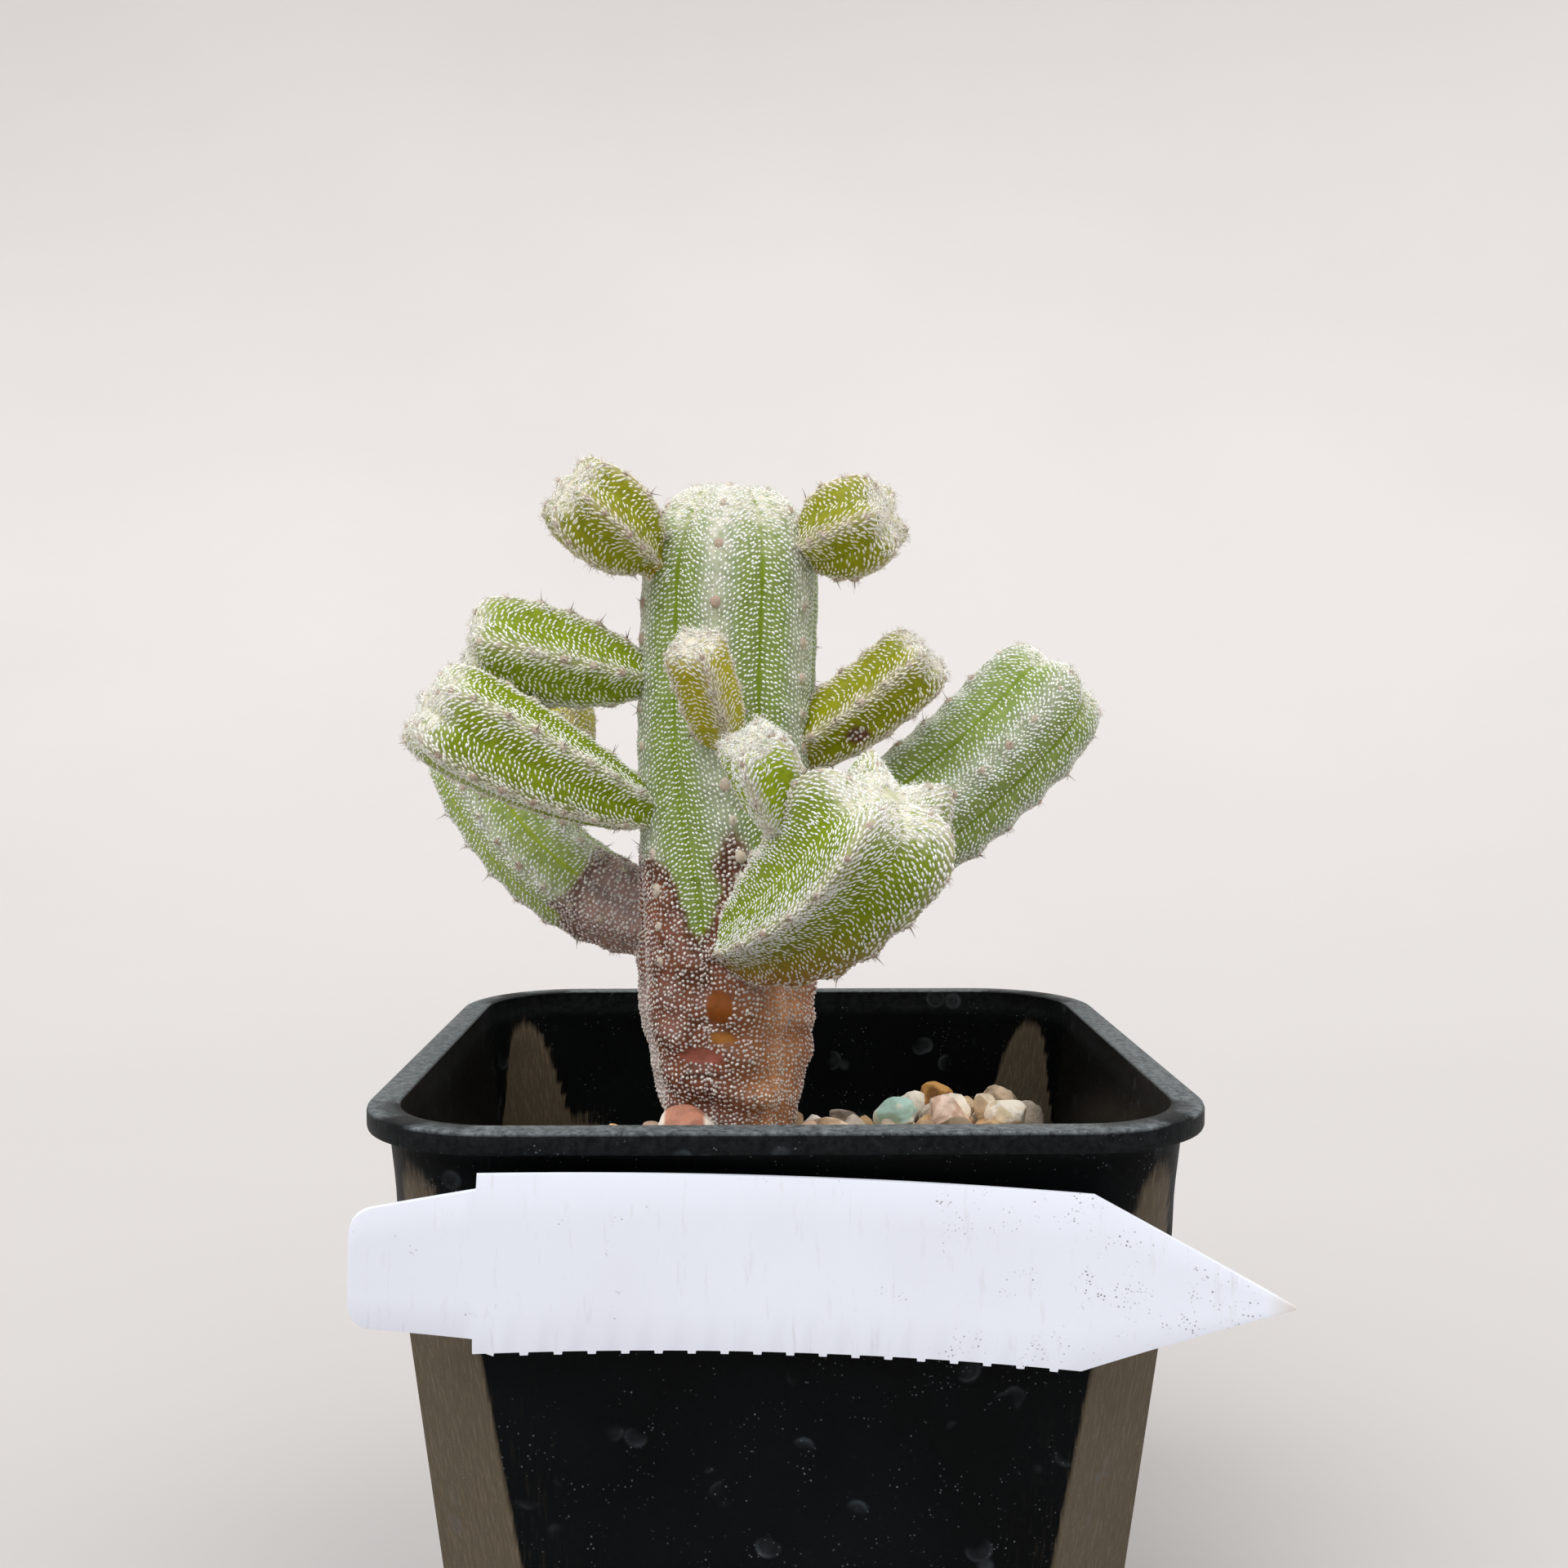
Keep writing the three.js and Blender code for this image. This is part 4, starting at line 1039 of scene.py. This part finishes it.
def skinColours(name, head, points, angle, high, s):
    groove, face, crest, _ = (linearRow(c) for c in tones[head["tone"]])
    line = 0.1 if head["tone"] in ("grey", "greyPaintedLighter") else 0.3
    colour = mixRows(face, groove, 1 - ease(between(high, line * 0.3, line)))
    colour = mixRows(colour, crest, ease(between(high, 0.6, 0.98)) * 0.8)
    # felt of hairs on the crown, and thinner on the crests
    felt = between(high, 0.8, 1.0) * 0.14 * head["wool"]
    felt = felt + ease(between(s, 0.87, 1.0)) * 0.55 * min(1, head["wool"])
    if name == "main_stem":
        felt = felt + between(s, 0.86, 1.0) * 0.25 + between(high, 0.85, 1.0) * between(s, 0.62, 0.9) * 0.3
    felt = felt + between(s, 0.92, 0.985) * 0.5 * min(1, head["wool"])
    felt = np.clip(felt * (0.8 + 1.5 * waves(points, 1.4, 44)), 0, 0.8)
    colour = mixRows(colour, linearRow(accents["felt"]), felt)
    if head["tone"] in ("lime", "olive"):
        colour = mixRows(colour, linearRow(accents["foot"]), (1 - ease(between(s, 0.02, 0.25))) * 0.75)
    if name == "front_big":
        colour = mixRows(colour, linearRow(accents["underside"]),
                         underside(angle) * (1 - ease(between(s, 0.25, 0.75))) * 0.95)
    colour = colour * (1 + 0.10 * waves(points, 0.4, 21)[:, None])
    brown, seam = barkShare(name, points, angle, s)
    dark, main, mauve, tan, pale = (linearRow(bark[k]) for k in ("dark", "main", "mauve", "tan", "pale"))
    corky = mixRows(main, dark, between(waves(points, 0.45, 31), -0.1, 0.45) * 0.8)
    corky = mixRows(corky, mauve, between(waves(points, 0.3, 37), -0.05, 0.35) * 0.7)
    # the back offset's cork is mixed with pale: partly its own paler cork, partly painted lighter to offset
    # the shade on it
    if name == "low_left_back":
        corky = mixRows(corky, pale, 0.3)
    if name == "main_stem":
        turned, z = wrapped(angle), points[:, 2]
        corky = mixRows(corky, tan, np.exp(-((turned / deg - 42) / 26) ** 2) * between(108 - z, 0, 6) * 0.95)
        leftSide = between(-turned / deg, 55, 80) * between(turned / deg, -150, -110)
        corky = mixRows(corky, pale, leftSide * between(101 - z, 0, 8) * 0.8)
    corky = mixRows(corky, dark, seam * 0.75)
    colour = mixRows(colour, corky, brown)
    smooth = np.zeros(len(points))
    if name == "main_stem":
        for *spot, paintName in bark["patches"]:
            here = ease(between(spotGap(angle, points, *spot), 1.25, 0.75))
            colour = mixRows(colour, linearRow(bark[paintName]), here * 0.9)
            smooth = np.maximum(smooth, here)
        gap = spotGap(angle, points, *bark["crack"])
        colour = mixRows(colour, linearRow(accents["crack"]), ease(between(gap, 1.4, 0.6)) * 0.8)
    return np.clip(colour, 0, 1), brown, smooth


# Living epidermis of a cactus, waxed: deep green under a soft bloom, light sinks in a little; cork where old.
def waxedSkin():
    material, add, plug, spot = startMaterial("waxed_epidermis_and_cork", {
        "IOR": 1.44, "Specular IOR Level": 0.26, "Subsurface Weight": 0.10, "Subsurface Scale": 0.001,
        "Subsurface Radius": (1.0, 1.0, 0.2)})
    own = add("Attribute", {"attribute_name": "tint"})
    brown = add("Attribute", {"attribute_name": "bark"})
    # blotches of 1 mm and cells of 0.15 mm
    blotch = add("TexNoise", {"Scale": 900.0, "Detail": 5.0, "Roughness": 0.6}, spot)
    tone = add("ValToRGB", {"stops": [
        (0.3, (0.76, 0.78, 0.66, 1)), (0.5, (1, 1, 1, 1)), (0.72, (1.16, 1.14, 1.2, 1))]}, {0: blotch})
    toned = add("Mix", {"blend_type": "MULTIPLY", 0: 1.0}, {6: (own, "Color"), 7: tone})
    cells = add("TexVoronoi", {"Scale": 5200.0}, spot)
    bloom = add("MapRange", {"range": (0.0, 0.6, 0.02, 0.0)}, {0: (cells, "Distance")})
    bloomed = add("Mix", {7: "#b9c7a8"}, {0: bloom, 6: toned})
    plug("Base Color", bloomed)
    rough = add("MapRange", {"range": (0.0, 1.0, 0.46, 0.62)}, {0: (brown, "Fac")})
    plug("Roughness", rough)
    cork = add("TexNoise", {"Scale": 1700.0, "Detail": 6.0, "Roughness": 0.65}, spot)
    corkHeight = add("Math", {"operation": "MULTIPLY"}, {0: cork, 1: (brown, "Fac")})
    height = add("Math", {"operation": "MULTIPLY_ADD", 1: 0.15}, {0: (cells, "Distance"), 2: corkHeight})
    relief = add("Bump", {"Strength": 0.55, "Distance": 0.00022}, {"Height": height})
    plug("Normal", relief)
    return material


# Fibres: each has its own tint, mottled by fine noise that also lifts the surface.
def fibre(name, sockets, scale, stops, strength, distance):
    material, add, plug, spot = startMaterial(name, sockets)
    own = add("Attribute", {"attribute_name": "tint"})
    tuft = add("TexNoise", {"Scale": scale, "Detail": 3.0}, spot)
    tone = add("ValToRGB", {"stops": stops}, {0: tuft})
    toned = add("Mix", {"blend_type": "MULTIPLY", 0: 1.0}, {6: (own, "Color"), 7: tone})
    plug("Base Color", toned)
    plug("Normal", add("Bump", {"Strength": strength, "Distance": distance}, {"Height": tuft}))
    return material


# Felted scale hairs, grown in tufts of a few tenths of a millimetre: chalk white, dull, lit edges.
def feltedWool(name, sheen):
    return fibre(name, {
        "Roughness": 0.92, "Specular IOR Level": 0.18, "Sheen Weight": sheen, "Sheen Roughness": 0.35,
        "Subsurface Weight": 0.15, "Subsurface Scale": 0.0004},
        6500.0, [(0.3, grey(0.86)), (0.7, grey(1.06))], 0.4, 0.00006)


# Spine of horny sclerenchyma, dried: brown-grey, mottled.
def hornySpine():
    return fibre("sclerenchyma_spine", {"Roughness": 0.55, "IOR": 1.54},
                 2400.0, [(0.35, grey(0.6)), (0.7, grey(1.2))], 0.3, 0.00005)


skinMesh = 0.68  # size of the skin's faces in millimetres


# The skin: a UV sphere whose rings and meridians are laid on the head's own ribs.
def makeSkin(name, head):
    length = lengthOf(head) + 0.75 * head["radius"]
    around = int(2 * math.pi * head["radius"] / skinMesh / head["ribs"] / 2) * 2 * head["ribs"]
    rows = int(length / skinMesh)
    pickNone()
    bpy.ops.mesh.primitive_uv_sphere_add(segments=around, ring_count=rows, radius=1)
    piece = bpy.context.object
    piece.name = piece.data.name = name + "_skin"
    ball = coordsOf(piece.data)
    t = np.clip(0.5 + np.arcsin(np.clip(ball[:, 2], -1, 1)) / math.pi, 0, 1)
    angle = np.arctan2(ball[:, 0], -ball[:, 1]) + head["turn"] * deg
    wall = np.clip(t / sideShare(head), 0, 1) * head["shoulder"]
    angle += ribTurn(head, axisAt(head, wall)[0])
    # the foot's pole closes it as a flat disc
    shut = t < 0.5 / rows
    place, high, s = skinPoint(head, t, angle)
    place[shut] = np.array(head["foot"], float)
    setCoords(piece.data, place * mm)
    colour, brown, smooth = skinColours(name, head, place, angle, high, s)
    paint(piece, "tint", colour)
    measure(piece, "bark", brown * (1 - smooth))
    return piece


# One fleck: a six-sided bead, its foot sunk in the skin; its copies are drawn out lengthwise.
def fleckModel():
    pickNone()
    bpy.ops.mesh.primitive_cone_add(vertices=6, radius1=1, radius2=0, depth=1, location=(0, 0, 0.5))
    bead = bpy.context.object
    bpy.ops.object.transform_apply(location=True)
    return takeModel(bead)


fleckBead = fleckModel()


# Lays flecks in rows that run down and out from each groove, and along the crest near it.
def fleckPlaces(name, head, rng):
    part = sideShare(head)
    steps, fanSteps = fleck["grooveSteps"], fleck["fanSteps"]
    fine, shares = np.linspace(0, 1, steps), np.linspace(0, 1, fanSteps)
    found = []
    half = math.pi / head["ribs"]
    clear = 0.85 if head["tone"] in ("grey", "greyPaintedLighter") else 0.55
    for rib in range(head["ribs"]):
        for hand in (-1, 1):
            groove = head["turn"] * deg + 2 * half * rib + half
            # lengths along the groove, and the half rib's width at each height
            line, _, _ = skinPoint(head, fine, np.full(steps, groove))
            run = np.concatenate([[0], np.cumsum(np.linalg.norm(np.diff(line, axis=0), axis=1))])
            fans = np.stack([
                skinPoint(head, fine, np.full(steps, groove + hand * half * f))[0] for f in shares])
            arc = np.cumsum(np.linalg.norm(np.diff(fans, axis=0), axis=2), axis=0)
            arc = np.concatenate([np.zeros((1, steps)), arc])
            columns = int(arc[-1].max() / fleck["rowGap"]) + 1
            for column, extra in [(c, e) for e in (0, 1) for c in range(columns)] + [(-1, 0)]:
                u = (max(column + clear, 0.3) + 0.5 * extra) * fleck["rowGap"]
                lean = min(1.5, 0.85 + 0.10 * column)
                start = (lean * fleck["rowGap"] * column + 0.5 * extra * fleck["along"]) % fleck["along"]
                v = np.arange(start, run[-1], fleck["along"])
                v = v + rng.uniform(-0.13, 0.13, len(v))
                t = np.interp(v, run, fine)
                row = np.clip((t * (steps - 1)).astype(int), 0, steps - 1)
                uHere = u + rng.uniform(-0.1, 0.1, len(v)) + 0.12 * np.sin(v * 0.9 + column)
                width = arc[-1][row]
                keep = uHere < width - 0.02
                share = np.array([np.interp(a, arc[:, r], shares) for a, r in zip(uHere, row)])
                if extra:
                    # the crests and the crown are set more closely
                    dense = np.maximum(between(share, 0.45, 0.85) * min(1, head["wool"]),
                                       between(t, part * 0.92, 1))
                    if name == "main_stem":
                        dense = between(t, part * 0.96, 1)
                    keep = keep & (rng.uniform(size=len(v)) < dense * 0.9)
                seam = np.full(len(v), column < 0)
                found.append(np.stack([t, groove + hand * half * share, np.full(len(v), hand), share, seam],
                                      1)[keep])
    return np.concatenate(found)


# The flecks of one head, and on its bark the cork beads, which lie out of line and fill the grooves too.
def makeFlecks(name, head, rng):
    t, meridian, hand, share, seam = fleckPlaces(name, head, rng).T
    angle = meridian + ribTurn(head, axisAt(head, np.clip(t, 0, 1))[0])
    here, _, s = skinPoint(head, t, angle)
    count = len(here)
    keep = (s > 0.02) & clearOfOthers(name, here)
    brown, _ = barkShare(name, here, angle, s)
    corky = brown > 0.5
    t = np.clip(t + rng.normal(0, fleck["barkShift"] / lengthOf(head), count) * corky, 0, 1)
    angle = angle + rng.normal(0, fleck["barkShift"] / head["radius"], count) * corky
    here, up, across, out, high, s = skinFrame(head, t, angle)
    keep &= (seam < 0.5) | corky
    if name == "main_stem":
        for *spot, _ in bark["patches"]:
            keep &= spotGap(angle, here, *spot) >= 0.95
        keep &= here[:, 2] > 78.5
    else:
        # green shows through between the flecks half way up a face
        lime = head["tone"] == "lime"
        window = np.exp(-((share - 0.3) / (0.32 if lime else 0.22)) ** 2) * (1 - between(s, 0.75, 0.95))
        thin = (0.6 if lime else 0.4) * window * between(waves(here, 0.5, 13), -0.5, 0.3)
        if name == "front_big":
            thin = np.maximum(thin, 0.5 * underside(angle) * (1 - between(s, 0.5, 0.85)))
        keep &= rng.uniform(size=count) > thin
    keep &= t < 0.985  # the pole stays free
    lean = (62 - 50 * ease(between(share, 0.35, 1.0))) * deg + rng.normal(0, 0.16, count)
    lean = np.where(corky, rng.uniform(0, 3.1, count), lean)
    along = -up * np.cos(lean)[:, None] + across * (np.sin(lean) * hand)[:, None]
    sideways = np.cross(out, along)
    axes = np.stack([along, sideways, out], 1)
    grow = rng.uniform(0.78, 1.2, count)
    fine = head["tone"] in ("grey", "greyPaintedLighter")
    drawn = fleck["length"] * (1.0 if fine else 1.2 + 0.15 * between(high, 0.6, 1))
    long = np.where(corky, 0.66, drawn) * grow
    wide = np.where(corky, 0.56, fleck["width"] * (1.0 if fine else 0.9)) * rng.uniform(0.85, 1.15, count)
    tall = np.where(corky, 0.2, fleck["height"] * (1 + 1.1 * between(share, 0.75, 1) * (not fine)))
    tall = tall * rng.uniform(0.8, 1.2, count)
    sizes = np.stack([long / 2, wide / 2, tall + fleck["sunk"]], 1) * mm
    base = here - out * fleck["sunk"]
    white = linearRow(tones[head["tone"]][3])
    colour = np.tile(white, (count, 1)) * rng.uniform(0.86, 1.1, (count, 1))
    skinHere, _, _ = skinColours(name, head, here, angle, high, s)
    colour = mixRows(colour, skinHere, rng.uniform(0.0, 0.08, count))
    colour = mixRows(colour, linearRow(accents["crestFleck"]),
                     ease(between(high, 0.7, 1)) * 0.45 * min(1.0, head["wool"]))
    colour = mixRows(colour, linearRow(accents["crownFleck"]), between(s, 0.8, 1.0) * 0.7)
    bead = linearRow(bark["bead"]) * rng.uniform(0.6, 1.1, (count, 1))
    bead = mixRows(bead, skinHere, rng.uniform(0.0, 0.5, count))
    colour = mixRows(colour, bead, brown)
    colour = np.clip(colour, 0, 1)
    pieces = []
    for suffix, mine in (("flecks", ~corky), ("cork_beads", corky)):
        mine = mine & keep
        if mine.sum() > 20:
            pieces.append(scatter(f"{name}_{suffix}", fleckBead, base[mine] * mm, axes[mine], sizes[mine],
                                  colour[mine]))
    return pieces


# One strand of wool: a thin three-sided thread with a bend in it.
def strandModel():
    pickNone()
    bpy.ops.mesh.primitive_cylinder_add(vertices=3, radius=1, depth=1, location=(0, 0, 0.5))
    strand = bpy.context.object
    bpy.ops.object.transform_apply(location=True)
    bpy.ops.object.mode_set(mode="EDIT")
    bpy.ops.mesh.select_all(action="SELECT")
    bpy.ops.mesh.bisect(plane_co=(0, 0, 0.5), plane_no=(0, 0, 1))
    bpy.ops.object.mode_set(mode="OBJECT")
    corners = coordsOf(strand.data)
    shrink = np.where(corners[:, 2] > 0.75, 0.3, 1.0)
    corners[:, :2] *= shrink[:, None]
    corners[:, 0] += np.where(abs(corners[:, 2] - 0.5) < 0.1, 4.5, 0)
    setCoords(strand.data, corners)
    return takeModel(strand)


def spineModel():
    pickNone()
    bpy.ops.mesh.primitive_cone_add(vertices=5, radius1=1, radius2=0.08, depth=1, location=(0, 0, 0.5))
    spine = bpy.context.object
    bpy.ops.object.transform_apply(location=True)
    return takeModel(spine)


def padModel():
    pickNone()
    bpy.ops.mesh.primitive_ico_sphere_add(subdivisions=2, radius=1)
    pad = bpy.context.object
    corners = coordsOf(pad.data)
    bump = np.array([1 + 0.16 * noise.noise(Vector(c) * 2.6) for c in corners])
    setCoords(pad.data, corners * bump[:, None])
    return takeModel(pad)


strand, spine, pad = strandModel(), spineModel(), padModel()


def framesOf(direction, rng):
    direction = direction / (np.linalg.norm(direction, axis=1, keepdims=True) + 1e-12)
    other = rng.normal(size=direction.shape)
    first = np.cross(direction, other)
    first /= np.linalg.norm(first, axis=1, keepdims=True) + 1e-12
    return np.stack([first, np.cross(direction, first), direction], 1)


# Threads that lie on the skin, turned and lifted as told.
def lieOn(head, t, angle, turned, lift):
    here, up, across, out, _, _ = skinFrame(head, t, angle)
    return here, up * np.cos(turned)[:, None] + across * np.sin(turned)[:, None] + out * lift


def threadLooks(rng, count, kind):
    long, thick, colour, light = threadKinds[kind]
    return (rng.uniform(*long, count), rng.uniform(*thick, count),
            np.tile(linearRow(colour), (count, 1)) * rng.uniform(*light, (count, 1)))


# Woolly pads along the crests, each with tufts and some with spines; wool over the crown and the crests.
def makeWool(name, head, rng):
    part = sideShare(head)
    bare = head["bare"]
    spots = []
    for rib in range(head["ribs"]):
        meridian = head["turn"] * deg + 2 * math.pi * rib / head["ribs"]
        for k in range(head["areoles"]):
            share = (2 * k + 1) / (2 * head["areoles"])
            if share > bare:
                spots.append((share * part, meridian))
        for cap in (0.22, 0.5, 0.78):
            spots.append((part + (1 - part) * cap, meridian))
    spots = np.array(spots)
    t = spots[:, 0]
    angle = spots[:, 1] + ribTurn(head, axisAt(head, t)[0])
    here, up, across, out, _, _ = skinFrame(head, t, angle)
    keep = clearOfOthers(name, here, allowed=-0.3)
    here, up, across, out, t = (row[keep] for row in (here, up, across, out, t))
    count = len(here)
    small = min(1.0, head["radius"] / 8)
    size = rng.uniform(0.42, 0.62, count) * (0.65 + 0.35 * small) * np.where(t > part, 0.85, 1)
    size = size * (1.3 if name == "main_stem" else 1)
    axes = np.stack([up, across, out], 1)
    sizes = np.stack([size * 1.15, size, size * 0.5], 1) * mm
    cream, pinkish = linearRow(accents["padCream"]), linearRow(accents["padBrown"])
    colours = mixRows(np.tile(cream, (count, 1)), pinkish, rng.uniform(0.1, 0.9, count))
    pads = scatter(f"{name}_pads", pad, (here - out * 0.1) * mm, axes, sizes, colours)
    # tufts on the pads
    each = int(12 * (0.6 + 0.6 * head["wool"]))
    many = count * each
    root = np.repeat(here, each, 0) + (rng.normal(size=(many, 1)) * np.repeat(up, each, 0)
                                      + rng.normal(size=(many, 1)) * np.repeat(across, each, 0)) * 0.28
    way = np.repeat(out, each, 0) * 0.75 + rng.normal(size=(many, 3)) * 0.65
    threads = [(root, way, *threadLooks(rng, many, "tuft"))]
    # wool over the crown
    crown = int((240 if name != "main_stem" else 640) * head["wool"] * (0.4 + small))
    tc = part + (1 - part) * rng.uniform(0.1, 1, crown) ** 0.45
    ac = rng.uniform(-math.pi, math.pi, crown)
    lying = lieOn(head, np.minimum(tc, 0.985), ac, rng.uniform(0, 2 * math.pi, crown),
                  rng.uniform(0.02, 0.5, (crown, 1)))
    threads.append((*lying, *threadLooks(rng, crown, "crown")))
    # wool felted along the crests
    each = 20 if name != "main_stem" else 8
    felt = int(each * head["ribs"] * head["areoles"] * head["wool"] * (0.5 + small))
    tf = rng.uniform(bare * part, part * 1.02, felt)
    rib = rng.integers(0, head["ribs"], felt)
    af = head["turn"] * deg + 2 * math.pi * rib / head["ribs"] + rng.normal(0, 0.11, felt)
    af = af + ribTurn(head, axisAt(head, tf)[0])
    threads.append((*lieOn(head, tf, af, rng.normal(0, 0.9, felt), 0.12), *threadLooks(rng, felt, "crest")))
    root, way, long, thick, colour = (np.concatenate(column) for column in zip(*threads))
    keep = clearOfOthers(name, root)
    root, way, long, thick, colour = (row[keep] for row in (root, way, long, thick, colour))
    wool = scatter(f"{name}_wool", strand, root * mm, framesOf(way, rng),
                   np.stack([thick, thick, long], 1) * mm, np.clip(colour, 0, 1))
    # spines: singly or in twos and threes, from the side pads
    roots, ways, tints = [], [], []
    for k in range(count):
        if t[k] > part or rng.uniform() > 0.62:
            continue
        for _ in range(rng.integers(1, 3)):
            ways.append(out[k] + rng.normal(size=3) * 0.28 + up[k] * rng.uniform(-0.2, 0.3))
            roots.append(here[k] + out[k] * 0.1)
            tints.append(linearRow(accents["spine"]) * rng.uniform(0.7, 1.2))
    pieces = [(pads, "pads"), (wool, "wool")]
    if roots:
        many = len(roots)
        wide = rng.uniform(0.06, 0.09, many)
        spines = scatter(f"{name}_spines", spine, np.array(roots) * mm, framesOf(np.array(ways), rng),
                         np.stack([wide, wide, rng.uniform(1.1, 1.9, many)], 1) * mm, np.array(tints))
        pieces.append((spines, "spines"))
    return pieces


skinSurface = waxedSkin()
fleckSurface = feltedWool("felted_scale_hairs", 0.2)
woolSurface = feltedWool("areole_wool", 0.4)
spineSurface = hornySpine()
for order, (name, head) in enumerate(heads.items()):
    rng = np.random.default_rng(700 + order)
    finishPiece(makeSkin(name, head), "cactus", skinSurface, smoothAngle=70)
    for piece in makeFlecks(name, head, rng):
        finishPiece(piece, "cactus", fleckSurface)
    for piece, sort in makeWool(name, head, rng):
        finishPiece(piece, "cactus", spineSurface if sort == "spines" else woolSurface)
    print("grown:", name)

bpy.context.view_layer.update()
for piece in finished:
    piece.data.calc_loop_triangles()
print("pieces", len(finished), "triangles", sum(len(piece.data.loop_triangles) for piece in finished))
